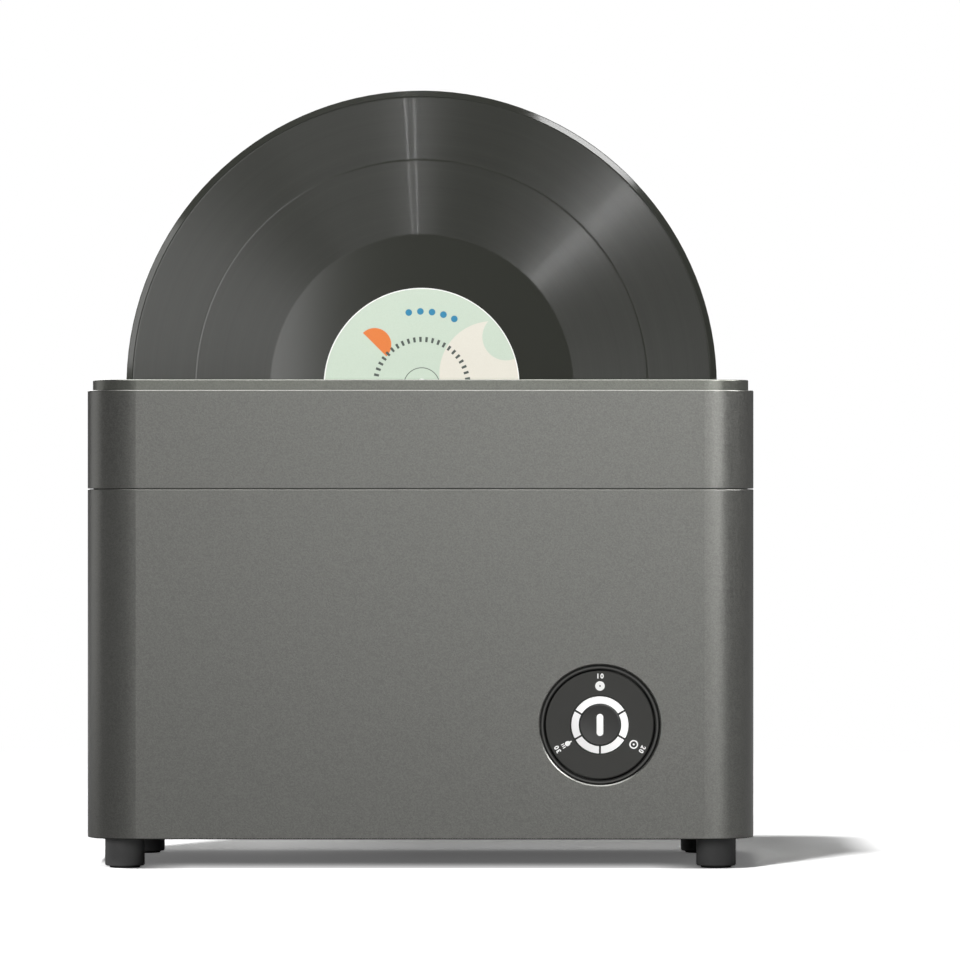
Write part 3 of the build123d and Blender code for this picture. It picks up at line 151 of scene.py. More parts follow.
class RecordFinish(bpy.types.PropertyGroup):
    """Radii and colours of the disc and its label."""

    vinyl: colour_setting("Vinyl", "the pressed disc", 40, 41, 37)
    groove_inner: length_setting("Groove start", "Radius where the smooth run-out ends", 77.5)
    groove_outer: length_setting("Groove end", "Radius where the grooves begin inside the rim", 147.2)
    seat_inner: length_setting("Seat start", "Radius where the raised seat begins to fall", 51.0)
    seat_outer: length_setting("Seat end", "Radius where the raised seat is level with the run-out", 60.0)
    seat_rise: length_setting("Seat rise", "Height of the label's raised seat over the run-out", 0.3)
    track_gap: length_setting("Track gap", "Radius of the gap between the two tracks", 115.5)
    label_ground: colour_setting("Label", "the label's ground", 184, 197, 182)
    label_cream: colour_setting("Label patch", "the pale patch on the label", 208, 204, 193)
    label_orange: colour_setting("Label spot", "the warm spot on the label", 208, 115, 54)
    label_blue: colour_setting("Label dots", "the row of dots on the label", 38, 119, 154)
    label_dark: colour_setting("Label ticks", "the ring of ticks on the label", 68, 76, 71)


class PanelFinish(bpy.types.PropertyGroup):
    """Colours of the control panel and the sizes of its printed marks."""

    disc: colour_setting("Disc", "the press disc", 67, 67, 65)
    button: colour_setting("Button", "the round button", 22, 22, 21)
    bezel: colour_setting("Bezel", "the thin ring round the disc", 42, 42, 41)
    # The bezel line is a painted highlight: a lighter ring painted on the bezel's face.
    bezel_line: colour_setting("Bezel line", "the highlit line round the bezel's face", 82, 82, 80)
    print_colour: colour_setting("Print", "the icons and numerals", 245, 245, 243)
    icon_radius: length_setting("Icon place", "Distance of the icons from the panel's centre", 19.4)
    numeral_radius: length_setting("Numeral place", "Distance of the numerals from the panel's centre", 24.2)
    icon_size: length_setting("Icon size", "Radius of a round icon", 2.2)
    numeral_height: length_setting("Numeral height", "Height of a numeral", 2.3)
    print_height: length_setting("Print height", "How far the print stands up from the disc", 0.05)


class StageSettings(bpy.types.PropertyGroup):
    """Camera and lamps."""

    camera_x: length_setting("Camera X", "Sideways place of the camera", 29.8)
    camera_distance: length_setting("Camera distance", "From the front of the casing to the camera", 3000.0)
    camera_height: length_setting("Camera height", "Height of the level camera", 193.9)
    focal_length: number_setting("Focal length", "Lens of the camera, in millimetres", 226.1)
    panel_power: power_setting("Panel", "the large soft panel that lights the casing", 32.0)
    right_power: power_setting("Right", "the box that draws the light line down the right corner", 50.0)
    brow_power: power_setting("Brow", "the long box high in front that draws the seam's edge", 20.0)
    key_power: power_setting("Key", "the long box that lights the record", 4.6)
    rim_power: power_setting("Rim", "the narrow box that glints in the record's rim", 2.0)
    side_power: power_setting("Side", "the box at the record's left", 5.9)
    strip_power: power_setting("Strip", "each thin strip above the camera", 4.4)
    top_power: power_setting("Top", "the broad box behind the thin strips", 10.4)
    card_power: power_setting("Card", "the pale card left of the camera", 2.1)
    fill_power: power_setting("Fill", "the broad fill at the front left", 40.0)
    back_power: power_setting("Back", "the box behind the left side", 4.0)
    rear_power: power_setting("Rear", "the large box high behind the machine", 60.0)
    over_power: power_setting("Overhead", "the box over the casing that draws its top edges", 42.0)
    corner_power: power_setting("Corner", "the small box that draws the edge round the panel", 33.0)
    sun_strength: number_setting("Sun strength", "Strength of the lamp that casts the floor shadow", 1.35)
    ambient: number_setting("Ambient", "Level of the room's light", 0.08)
    floor_gain: number_setting("Floor gain", "How pale the floor looks to the camera", 2.4)
    # Floor glow is painted light: emission that the camera alone sees, lifting the floor's deepest shadow.
    floor_glow: number_setting("Floor glow", "Least tone of the floor in the deepest shadow", 0.03)


# ---- shader nodes ----


def add_node(tree, kind, inputs=None, **settings):
    """Adds a node, with inputs by name or number that are linked to other nodes or set."""
    node = tree.nodes.new(kind)
    for key, value in settings.items():
        setattr(node, key, value)
    for key, value in (inputs or {}).items():
        socket = node.inputs[key]
        if isinstance(value, bpy.types.NodeSocket):
            tree.links.new(value, socket)
        elif socket.type == "RGBA":
            socket.default_value = (*value, 1.0)
        else:
            socket.default_value = value
    return node


class Graph:
    """A material's node tree with short calls for the nodes that the finishes share."""

    def __init__(self, name):
        self.material = bpy.data.materials.new(name)
        self.material.use_nodes = True
        self.tree = self.material.node_tree
        self.tree.nodes.clear()
        self.place = self.add("ShaderNodeTexCoord").outputs["Object"]

    def add(self, kind, inputs=None, **settings):
        return add_node(self.tree, kind, inputs, **settings)

    def math(self, operation, first, second=0.0):
        return self.add("ShaderNodeMath", {0: first, 1: second}, operation=operation).outputs[0]

    def product(self, first, second):
        return self.math("MULTIPLY", first, second)

    def blend(self, first, first_weight, second, second_weight):
        """Sum of two values, each times its weight."""
        return self.math("ADD", self.product(first, first_weight), self.product(second, second_weight))

    def between(self, share, start, end):
        """Goes from start to end as the share goes from 0 to 1."""
        return self.math("ADD", self.product(share, self.math("SUBTRACT", end, start)), start)

    def vector(self, operation, first, second=BLACK):
        outputs = self.add("ShaderNodeVectorMath", {0: first, 1: second}, operation=operation).outputs
        return outputs["Value" if operation == "LENGTH" else "Vector"]

    def flat_from(self, centre):
        """Place in X and Z, counted from a centre."""
        across = (1.0, 0.0, 1.0)
        return self.vector("MULTIPLY", self.vector("SUBTRACT", self.place, centre), across)

    def split(self, vector):
        return self.add("ShaderNodeSeparateXYZ", {0: vector}).outputs

    def remap(self, value, low, high, start, end, kind="LINEAR"):
        inputs = {"Value": value, "From Min": low, "From Max": high, "To Min": start, "To Max": end}
        return self.add("ShaderNodeMapRange", inputs, interpolation_type=kind).outputs["Result"]

    def spread(self, noise, start, end, margin=0.3):
        """Goes from start to end over a noise's usual range, which leaves a margin at each side."""
        return self.remap(noise, margin, 1.0 - margin, start, end)

    def noise(self, size, detail=2.0, place=None):
        inputs = {"Vector": place or self.place, "Scale": 1.0 / size, "Detail": detail}
        return self.add("ShaderNodeTexNoise", inputs).outputs["Fac"]

    def line_noise(self, value, size, detail=2.0):
        """Noise along one number, such as a radius or a height."""
        inputs = {"W": value, "Scale": 1.0 / size, "Detail": detail}
        return self.add("ShaderNodeTexNoise", inputs, noise_dimensions="1D").outputs["Fac"]

    def cells(self, size):
        return self.add("ShaderNodeTexVoronoi", {"Vector": self.place, "Scale": 1.0 / size}).outputs

    def mix(self, share, first, second, blend="MIX"):
        inputs = {"Factor": share, 6: first, 7: second}
        return self.add("ShaderNodeMix", inputs, data_type="RGBA", blend_type=blend).outputs[2]

    def vary(self, colour, share, amount):
        """The colour made darker and lighter by a share from 0 to 1."""
        dark = tuple(max(0.0, channel * (1.0 - amount)) for channel in colour)
        light = tuple(min(1.0, channel * (1.0 + amount)) for channel in colour)
        return self.mix(share, dark, light)

    def bump(self, height, depth, strength=1.0, normal=None):
        inputs = {"Height": height, "Distance": depth, "Strength": strength}
        if normal is not None:
            inputs["Normal"] = normal
        return self.add("ShaderNodeBump", inputs).outputs["Normal"]

    def principled(self, **settings):
        """Principled surface from named inputs."""
        names = [key.replace("_", " ").title().replace("Ior", "IOR") for key in settings]
        return self.add("ShaderNodeBsdfPrincipled", dict(zip(names, settings.values())))

    def sum_of(self, first, second):
        """Two surfaces added together."""
        return self.add("ShaderNodeAddShader", {0: first.outputs[0], 1: second.outputs[0]})

    def close(self, surface):
        """Joins a surface to the material's output."""
        self.add("ShaderNodeOutputMaterial", {"Surface": surface.outputs[0]})
        return self.material

    def finish(self, **settings):
        return self.close(self.principled(**settings))

    def disc_mask(self, place, x, z, radius):
        """1 inside a round spot drawn in X and Z, 0 outside."""
        distance = self.vector("LENGTH", self.vector("SUBTRACT", place, (x, 0.0, z)))
        return self.remap(distance, radius - PRINT_EDGE, radius + PRINT_EDGE, 1.0, 0.0)

    def ring_mask(self, distance, inner, outer, edge=PRINT_EDGE):
        """1 between two radii."""
        past = self.remap(distance, inner - edge, inner + edge, 0.0, 1.0)
        before = self.remap(distance, outer - edge, outer + edge, 1.0, 0.0)
        return self.product(past, before)


# ---- finishes ----


def casing_paint(name, colour, roughness, flake):
    """Satin metallic paint: fine flakes, a faint mottle, a light orange peel, and painted shade along the
    bottom edge.
    """
    g = Graph(name)
    flake_share = g.split(g.cells(flake)["Color"])[0]
    mottle = g.noise(5.0 * MM, detail=3.0)
    shade = g.vary(colour, g.blend(flake_share, 0.7, mottle, 0.3), 0.16)
    # Painted shade: the paint darkens in its lowest 0.7 mm, standing for the shade there and the dark floor
    # that the bottom edge reflects.
    shade_line_top = casing_low.z + 0.7 * MM
    above_shade_line = g.remap(g.split(g.place)[2], shade_line_top - 0.4 * MM, shade_line_top, 0.25, 1.0)
    change = 0.05
    gloss = g.remap(flake_share, 0.0, 1.0, roughness - change, roughness + change)
    peel = g.bump(g.noise(1.4 * MM), depth=0.02 * MM, strength=0.6)
    normal = g.bump(flake_share, depth=0.02 * MM, strength=0.5, normal=peel)
    return g.finish(base_color=g.mix(above_shade_line, BLACK, shade), metallic=0.9, roughness=gloss, normal=normal)


def moulded_plastic(name, colour, roughness=0.5, grain=0.45 * MM):
    """Moulded plastic with a fine spark-eroded grain and slight flow marks."""
    g = Graph(name)
    pits = g.noise(grain, detail=3.0)
    flow = g.noise(22.0 * MM)
    shade = g.vary(colour, g.blend(pits, 0.5, flow, 0.5), 0.08)
    change = 0.05
    gloss = g.spread(flow, roughness - change, roughness + change)
    return g.finish(base_color=shade, roughness=gloss, normal=g.bump(pits, depth=0.02 * MM, strength=0.7))


def soft_rubber(name, colour):
    """Matt rubber with a chalky bloom."""
    g = Graph(name)
    bloom = g.noise(3.0 * MM, detail=4.0)
    gloss = g.spread(bloom, 0.72, 0.9, margin=0.2)
    normal = g.bump(g.noise(0.5 * MM), depth=0.03 * MM, strength=0.6)
    return g.finish(base_color=g.vary(colour, bloom, 0.22), roughness=gloss, normal=normal)


def brushed_metal(name, colour, stretch, roughness=0.34):
    """Metal with fine lines along one axis; stretch is small along the lines."""
    g = Graph(name)
    lines = g.noise(1.0 * MM, detail=4.0, place=g.vector("MULTIPLY", g.place, stretch))
    patches = g.noise(18.0 * MM)
    shade = g.vary(colour, g.blend(lines, 0.7, patches, 0.3), 0.14)
    gloss = g.spread(lines, roughness - 0.08, roughness + 0.1, margin=0.2)
    normal = g.bump(lines, depth=0.01 * MM, strength=0.5)
    return g.finish(base_color=shade, metallic=1.0, roughness=gloss, normal=normal)


def turned_metal(name, colour, axis_x, axis_z, roughness=0.3):
    """Metal with rings from the lathe, about an axis along Y."""
    g = Graph(name)
    radius = g.vector("LENGTH", g.flat_from((axis_x, 0.0, axis_z)))
    rings = g.line_noise(radius, 0.35 * MM, detail=3.0)
    stain = g.noise(6.0 * MM)
    shade = g.vary(colour, g.blend(rings, 0.6, stain, 0.4), 0.15)
    gloss = g.spread(rings, roughness, roughness + 0.14, margin=0.2)
    normal = g.bump(rings, depth=0.01 * MM, strength=0.6)
    return g.finish(base_color=shade, metallic=1.0, roughness=gloss, normal=normal)


def record_vinyl(finish):
    """Black vinyl: grooves that glint across themselves, a smooth run-out, a track gap and a seat."""
    g = Graph("record_vinyl")
    from_axis = g.flat_from(record_axis)
    radius = g.vector("LENGTH", from_axis)
    inputs = {0: g.vector("NORMALIZE", from_axis)}
    to_world = {"vector_type": "VECTOR", "convert_from": "OBJECT", "convert_to": "WORLD"}
    outwards = g.add("ShaderNodeVectorTransform", inputs, **to_world).outputs[0]
    half_gap = 0.45 * MM
    gap = g.ring_mask(radius, finish.track_gap - half_gap, finish.track_gap + half_gap, 0.3 * MM)
    grooves = g.ring_mask(radius, finish.groove_inner, finish.groove_outer, 0.4 * MM)
    cut = g.product(grooves, g.math("SUBTRACT", 1.0, gap))
    fine = g.line_noise(radius, 0.55 * MM)
    share = g.blend(g.line_noise(radius, 4.5 * MM, detail=3.0), 0.5, fine, 0.5)
    smooth_shade = 0.9
    smooth_gloss = 0.085
    colour = g.vary(finish.vinyl, g.between(cut, smooth_shade, share), 0.22)
    gloss = g.between(cut, smooth_gloss, g.spread(share, 0.25, 0.265))
    seat = g.remap(radius, finish.seat_inner, finish.seat_outer, 0.0, finish.seat_rise)
    ridge = g.math("ADD", g.product(fine, cut), g.product(gap, -3.6))
    surface = g.principled(
        base_color=colour,
        roughness=gloss,
        normal=g.bump(ridge, depth=0.03 * MM, strength=0.15, normal=g.bump(seat, depth=1.0)),
        tangent=outwards,
        anisotropic=g.product(cut, 0.97),
        ior=1.55,
    )
    tone = g.mix(g.product(cut, 0.006), BLACK, WHITE)
    inputs = {"Color": tone, "Roughness": 0.14, "Anisotropy": -0.95, "Tangent": outwards}
    walls = g.add("ShaderNodeBsdfAnisotropic", inputs, distribution="GGX")
    return g.close(g.sum_of(surface, walls))


def label_paper(finish):
    """Printed paper: a pale ground with a patch, a spot, a row of dots, a ring of ticks and a painted
    highlight round its rim.
    """
    g = Graph("label_paper")
    flat = g.flat_from(record_axis)
    radius = g.vector("LENGTH", flat)
    x, _, z = g.split(flat)
    patch = g.disc_mask(flat, 36.0 * MM, 6.0 * MM, 27.0 * MM)
    colour = g.mix(patch, finish.label_ground, finish.label_cream)
    bite = g.disc_mask(flat, 43.0 * MM, 25.0 * MM, 12.0 * MM)
    colour = g.mix(bite, colour, finish.label_ground)
    spot = g.disc_mask(flat, -24.0 * MM, 21.0 * MM, 8.5 * MM)
    upper_half = g.remap(g.math("ADD", x, z), -3.2 * MM, -2.8 * MM, 0.0, 1.0)
    colour = g.mix(g.product(spot, upper_half), colour, finish.label_orange)
    dot_reach = 38.0 * MM
    for angle in (64.0, 73.0, 82.0, 91.0, 100.0):
        turn = math.radians(angle)
        dot = g.disc_mask(flat, dot_reach * math.cos(turn), dot_reach * math.sin(turn), 1.7 * MM)
        colour = g.mix(dot, colour, finish.label_blue)
    tick_count = 48.0
    ticks_round = g.product(g.math("ARCTAN2", z, x), tick_count / (2.0 * math.pi))
    tick = g.math("LESS_THAN", g.math("FRACT", ticks_round), 0.4)
    ticks = g.product(tick, g.ring_mask(radius, 22.4 * MM, 25.0 * MM))
    thin_ring = g.ring_mask(radius, 9.0 * MM, 9.4 * MM)
    colour = g.mix(g.math("MAXIMUM", ticks, thin_ring), colour, finish.label_dark)
    # Painted highlight: a thin pale line painted round the label's rim.
    rim_painted_highlight = g.remap(radius, 49.35 * MM, 49.6 * MM, 0.0, 1.0)
    colour = g.mix(rim_painted_highlight, colour, (0.8, 0.8, 0.78))
    fibre = g.noise(0.35 * MM, detail=5.0)
    colour = g.mix(0.10, colour, g.mix(fibre, BLACK, WHITE), "OVERLAY")
    press_mark = g.ring_mask(radius, 15.6 * MM, 16.4 * MM, 0.4 * MM)
    height = g.math("ADD", g.product(fibre, 0.3), press_mark)
    return g.finish(base_color=colour, roughness=0.5, normal=g.bump(height, depth=0.03 * MM, strength=0.5))


def panel_plastic(name, colour, roughness=0.42, shine=0.25, dish=0.0, line=None):
    """Soft-touch plastic with a fine grain and a little dust; dish sinks its middle, line paints a highlight
    ring on its face.
    """
    g = Graph(name)
    grain = g.noise(0.28 * MM, detail=3.0)
    haze = g.noise(14.0 * MM, detail=3.0)
    shade = g.vary(colour, g.blend(grain, 0.35, haze, 0.65), 0.1)
    gloss = g.spread(haze, roughness, roughness + 0.1)
    normal = g.bump(grain, depth=0.01 * MM, strength=0.6)
    reach = g.vector("LENGTH", g.flat_from(panel_axis))
    # Painted highlight: a lighter ring between 28.2 and 29.0 mm from the panel's centre.
    if line:
        shade = g.mix(g.ring_mask(reach, 28.2 * MM, 29.0 * MM, 0.2 * MM), shade, line)
    if dish:
        centimetres = g.product(reach, 100.0)
        normal = g.bump(g.math("POWER", centimetres, 2.0), depth=dish, normal=normal)
    return g.finish(base_color=shade, roughness=gloss, specular_ior_level=shine, normal=normal)


def lit_window():
    """White window with emission for the lamps behind it, painted weaker at its lower left as painted shade.
    """
    g = Graph("lit_window")
    x, _, z = g.split(g.vector("SUBTRACT", g.place, panel_axis))
    # Painted light and shade: the emission is strongest at the upper right and fades towards the lower left.
    glow = g.remap(g.math("ADD", x, z), -18.0 * MM, 4.0 * MM, 0.02, 0.24)
    grain = g.noise(0.3 * MM)
    return g.finish(
        base_color=g.vary((0.9, 0.9, 0.89), grain, 0.03),
        roughness=0.35,
        emission_color=(1.0, 1.0, 0.99),
        emission_strength=glow,
        normal=g.bump(grain, depth=0.01 * MM, strength=0.3),
    )


def printed_ink(finish):
    """White screen print with a faint painted glow that brightens it."""
    g = Graph("panel_print")
    grain = g.noise(0.25 * MM, detail=3.0)
    shade = g.vary(finish.print_colour, grain, 0.04)
    # Painted light: the faint emission brightens the print, which is no lamp.
    return g.finish(
        base_color=shade,
        roughness=0.45,
        emission_color=shade,
        emission_strength=0.1,
        normal=g.bump(grain, depth=0.01 * MM, strength=0.4),
    )


def circuit_board_finish():
    """Green solder mask with copper traces showing through as paler lines."""
    g = Graph("circuit_board")
    pattern = {
        "Vector": g.place,
        "Scale": 1.0 / (6.0 * MM),
        "Color1": (0.012, 0.085, 0.035),
        "Color2": (0.016, 0.105, 0.042),
        "Mortar": (0.03, 0.17, 0.07),
        "Mortar Size": 0.03,
    }
    traces = g.add("ShaderNodeTexBrick", pattern)
    mottle = g.mix(g.noise(2.0 * MM), (0.01, 0.08, 0.03), (0.03, 0.16, 0.07))
    shade = g.mix(0.3, traces.outputs["Color"], mottle)
    normal = g.bump(traces.outputs["Fac"], depth=0.03 * MM, strength=0.5)
    return g.finish(base_color=shade, roughness=0.3, normal=normal)


def filter_foam():
    """Open-cell foam, painted darker in the middle of each pore as painted shade."""
    g = Graph("filter_foam")
    pores = g.cells(1.1 * MM)["Distance"]
    # Painted shade: the colour darkens towards the middle of each pore.
    shade = g.mix(g.spread(pores, 0.0, 1.0, margin=0.2), (0.02, 0.02, 0.022), (0.10, 0.10, 0.105))
    return g.finish(base_color=shade, roughness=0.95, normal=g.bump(pores, depth=0.4 * MM))


def fired_ceramic(name, colour):
    """Matt fired ceramic with speckles."""
    g = Graph(name)
    speck = g.noise(0.7 * MM, detail=4.0)
    normal = g.bump(speck, depth=0.03 * MM, strength=0.5)
    return g.finish(base_color=g.vary(colour, speck, 0.2), roughness=0.6, normal=normal)


def wound_copper():
    """Enamelled wire wound in even turns along Y, painted darker between the turns as painted shade."""
    g = Graph("copper_winding")
    pitch = 0.6 * MM
    turns = g.math("SINE", g.product(g.split(g.place)[1], 2.0 * math.pi / pitch))
    # Painted shade: the colour darkens in the hollows between the turns.
    shade = g.mix(g.remap(turns, -1.0, 1.0, 0.0, 1.0), (0.25, 0.09, 0.03), (0.62, 0.27, 0.10))
    normal = g.bump(turns, depth=0.1 * MM, strength=0.8)
    return g.finish(base_color=shade, metallic=0.8, roughness=0.32, normal=normal)


def smoked_tank():
    """Smoked satin plastic of the water tank, with faint tide marks."""
    g = Graph("smoked_tank")
    tide = g.line_noise(g.split(g.place)[2], 3.0 * MM)
    grain = g.noise(0.5 * MM, detail=3.0)
    shade = g.vary(shade_of(84, 86, 86), g.blend(tide, 0.4, grain, 0.6), 0.1)
    gloss = g.spread(tide, 0.34, 0.44)
    return g.finish(base_color=shade, roughness=gloss, normal=g.bump(grain, depth=0.02 * MM, strength=0.5))


# ---- modelling helpers ----


def give(material, *names):
    """Puts a finish on frame nodes."""
    for name in names:
        mesh = nodes[name].data
        mesh.materials.clear()
        mesh.materials.append(material)


def leave_edit():
    bpy.ops.object.mode_set(mode="OBJECT")


def start_clean():
    if bpy.context.mode != "OBJECT":
        leave_edit()
    bpy.ops.object.select_all(action="DESELECT")


def fix_place():
    """Moves the active piece's place, turn and size into its mesh."""
    bpy.ops.object.transform_apply(location=True, rotation=True, scale=True)


def settle(name, material, body):
    """Names the active piece, fixes its place in its mesh, and gives it its finish and body."""
    fix_place()
    piece = bpy.context.active_object
    piece.name = name
    piece.data.name = name
    piece.data.materials.clear()
    piece.data.materials.append(material)
    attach(piece, body)
    return piece


def edit_all():
    """Opens the active piece in edit mode with all of it selected."""
    bpy.ops.object.mode_set(mode="EDIT")
    bpy.ops.mesh.select_all(action="SELECT")


def thicken(depth):
    """Extrudes the active flat piece along Y, then closes and turns its faces outwards."""
    edit_all()
    bpy.ops.mesh.extrude_region_move(TRANSFORM_OT_translate={"value": (0.0, depth, 0.0)})
    bpy.ops.mesh.select_all(action="SELECT")
    bpy.ops.mesh.normals_make_consistent(inside=False)
    leave_edit()


def select_where(test):
    """Selects the vertices of the active piece, in edit mode, whose place passes a test."""
    bpy.ops.mesh.select_all(action="DESELECT")
    leave_edit()
    for vertex in bpy.context.active_object.data.vertices:
        vertex.select = test(vertex.co)
    bpy.ops.object.mode_set(mode="EDIT")


def flat_circle(x, z, radius, front, sides=40):
    """Filled circle that faces the front."""
    start_clean()
    turn = (FACE_FRONT, 0.0, 0.0)
    bpy.ops.mesh.primitive_circle_add(
        vertices=sides, radius=radius, fill_type="NGON", location=(x, front, z), rotation=turn
    )
    fix_place()


def flat_ring(x, z, outer, inner, front):
    """Flat ring that faces the front."""
    flat_circle(x, z, outer, front)
    edit_all()
    bpy.ops.mesh.inset(thickness=outer - inner, depth=0.0)
    bpy.ops.mesh.delete(type="FACE")
    leave_edit()


def flat_bar(x, z, width, height, turn, front):
    """Flat bar that faces the front, turned about the line of sight."""
    start_clean()
    bpy.ops.mesh.primitive_plane_add(size=1.0, location=(x, front, z), rotation=(FACE_FRONT, turn, 0.0))
    bpy.context.active_object.scale = (width, height, 1.0)
    fix_place()


def join_as_one(pieces):
    start_clean()
    for piece in pieces:
        piece.select_set(True)
    bpy.context.view_layer.objects.active = pieces[0]
    bpy.ops.object.join()


def around_panel(radius, angle):
    turn = math.radians(angle)
    return panel_axis.x + radius * math.cos(turn), panel_axis.z + radius * math.sin(turn)


# ---- operators ----


class DressStep:
    """What the operators share."""

    bl_options = {"REGISTER", "UNDO"}


class CLEANER_OT_casing(DressStep, bpy.types.Operator):
    """Paint the casing, its cover, the slot tray and the filter cover"""

    bl_idname = "cleaner.casing"
    bl_label = "Casing"

    def execute(self, context):
        finish = context.scene.casing_finish
        paint = casing_paint("casing_paint", finish.paint, finish.roughness, finish.flake)
        give(paint, "housing", "top_cover", "filter_cover")
        give(casing_paint("tray_paint", finish.tray, finish.roughness, finish.flake), "slot_tray")
        return {"FINISHED"}


class CLEANER_OT_feet(DressStep, bpy.types.Operator):
    """Finish the feet, their pads, the base and the deck"""

    bl_idname = "cleaner.feet"
    bl_label = "Feet and base"

    def execute(self, context):
        finish = context.scene.casing_finish
        give(moulded_plastic("foot_plastic", finish.foot, roughness=0.55), "feet")
        give(soft_rubber("pad_rubber", finish.rubber), "foot_pads")
        give(moulded_plastic("base_plastic", shade_of(58, 58, 57)), "base_plate", "deck_plate")
        return {"FINISHED"}


class CLEANER_OT_record(DressStep, bpy.types.Operator):
    """Finish the disc and print its two labels"""

    bl_idname = "cleaner.record"
    bl_label = "Record"

    def execute(self, context):
        finish = context.scene.record_finish
        disc, *labels = RECORD_NODES
        give(record_vinyl(finish), disc)
        give(label_paper(finish), *labels)
        return {"FINISHED"}


class CLEANER_OT_panel(DressStep, bpy.types.Operator):
    """Finish the control panel's bezel, disc, light ring and button"""

    bl_idname = "cleaner.panel"
    bl_label = "Control panel"

    def execute(self, context):
        finish = context.scene.panel_finish
        satin = {"roughness": 0.3, "shine": 0.5}
        # The bezel gets a painted highlight ring on its face.
        give(panel_plastic("bezel_plastic", finish.bezel, line=finish.bezel_line, **satin), "panel_bezel")
        give(panel_plastic("carrier_plastic", finish.bezel, **satin), "light_carrier")
        give(panel_plastic("disc_plastic", finish.disc), "mode_disc")
        button = panel_plastic("button_plastic", finish.button, roughness=0.38, shine=0.4, dish=0.5 * MM)
        give(button, "power_button")
        give(lit_window(), "light_ring", "power_mark")
        return {"FINISHED"}


class CLEANER_OT_panel_print(DressStep, bpy.types.Operator):
    """Print the three icons and their plain numerals on the press disc"""

    bl_idname = "cleaner.panel_print"
    bl_label = "Panel print"

    def execute(self, context):
        finish = context.scene.panel_finish
        ink = printed_ink(finish)
        front = disc_front - finish.print_height
        depth = finish.print_height + PRINT_ROOT
        icons = {"icon_air": self.draw_air, "icon_cycle": self.draw_cycle, "icon_water": self.draw_drop}
        for name, draw in icons.items():
            draw(finish, front)
            thicken(depth)
            settle(name, ink, "mode_key")
        for number, angle in ((10, TOP), (20, LOWER_RIGHT), (30, LOWER_LEFT)):
            self.make_numeral(str(number), angle, finish, front, depth)
            settle(f"numeral_{number}", ink, "mode_key")
        return {"FINISHED"}

    def draw_air(self, finish, front):
        """Disc with a small hole."""
        size = finish.icon_size
        x, z = around_panel(finish.icon_radius, TOP)
        flat_ring(x, z, 1.08 * size, 0.2 * size, front)

    def draw_cycle(self, finish, front):
        """Ring with a dot in its middle."""
        size = finish.icon_size
        x, z = around_panel(finish.icon_radius, LOWER_RIGHT)
        flat_ring(x, z, size, 0.7 * size, front)
        ring = bpy.context.active_object
        flat_circle(x, z, 0.24 * size, front, sides=24)
        join_as_one([ring, bpy.context.active_object])

    def draw_drop(self, finish, front):
        """Drop whose tip points at the panel's centre, with three short lines behind it."""
        size = finish.icon_size
        x, z = around_panel(finish.icon_radius - 0.3 * size, LOWER_LEFT)
        inwards = math.radians(LOWER_LEFT - 180.0)
        direction = Vector((math.cos(inwards), 0.0, math.sin(inwards)))
        centre = Vector((x, front, z))

        def pull(start, end, distance):
            """Moves what stands between two distances from the middle further towards the tip."""
            select_where(lambda place: start * size < (place - centre).dot(direction) <= end * size)
            bpy.ops.transform.translate(value=tuple(direction * distance * size))

        flat_circle(x, z, 0.56 * size, front, sides=32)
        bpy.ops.object.mode_set(mode="EDIT")
        pull(0.54, 1.0, distance=0.62)
        pull(0.3, 0.55, distance=0.12)
        leave_edit()
        parts = [bpy.context.active_object]
        lines_x, lines_z = around_panel(finish.icon_radius + 0.72 * size, LOWER_LEFT)
        for side in (-1, 0, 1):
            aside = side * 0.42 * size
            x = lines_x + aside * math.sin(inwards)
            z = lines_z - aside * math.cos(inwards)
            flat_bar(x, z, 0.7 * size, 0.2 * size, -inwards, front)
            parts.append(bpy.context.active_object)
        join_as_one(parts)

    def make_numeral(self, text, angle, finish, front, depth):
        """Numeral that stands on the circle round the panel's centre."""
        x, z = around_panel(finish.numeral_radius, angle)
        start_clean()
        bpy.ops.object.text_add(location=(0.0, 0.0, 0.0))
        letter = bpy.context.active_object.data
        letter.body = text
        cap_share = 0.7
        letter.size = finish.numeral_height / cap_share
        letter.space_character = 1.25
        letter.offset = 0.05 * finish.numeral_height
        letter.align_x = "CENTER"
        letter.align_y = "CENTER"
        letter.extrude = depth / 2
        letter.resolution_u = 4
        bpy.ops.object.convert(target="MESH")
        piece = bpy.context.active_object
        piece.rotation_euler = (FACE_FRONT, math.radians(TOP - angle), 0.0)
        piece.location = (x, front + depth / 2, z)


class CLEANER_OT_bath(DressStep, bpy.types.Operator):
    """Finish the wash tub, its strainer, gasket, seals and rollers"""

    bl_idname = "cleaner.bath"
    bl_label = "Bath and rollers"

    def execute(self, context):
        give(brushed_metal("tub_steel", (0.55, 0.55, 0.545), stretch=(0.06, 1.0, 1.0)), "wash_tub")
        give(soft_rubber("silicone", shade_of(96, 96, 94)), "throat_gasket", "shaft_seal")
        give(soft_rubber("roller_rubber", shade_of(84, 84, 82)), "drive_roller", "idler_roller")
        roller = middle_of("drive_roller")
        shaft_steel = turned_metal("shaft_steel", SHAFT_STEEL, roller.x, roller.z)
        give(shaft_steel, "drive_shaft", "idler_axle", "tub_strainer")
        give(turned_metal("bush_brass", BRASS, roller.x, roller.z), "shaft_bush")
        return {"FINISHED"}


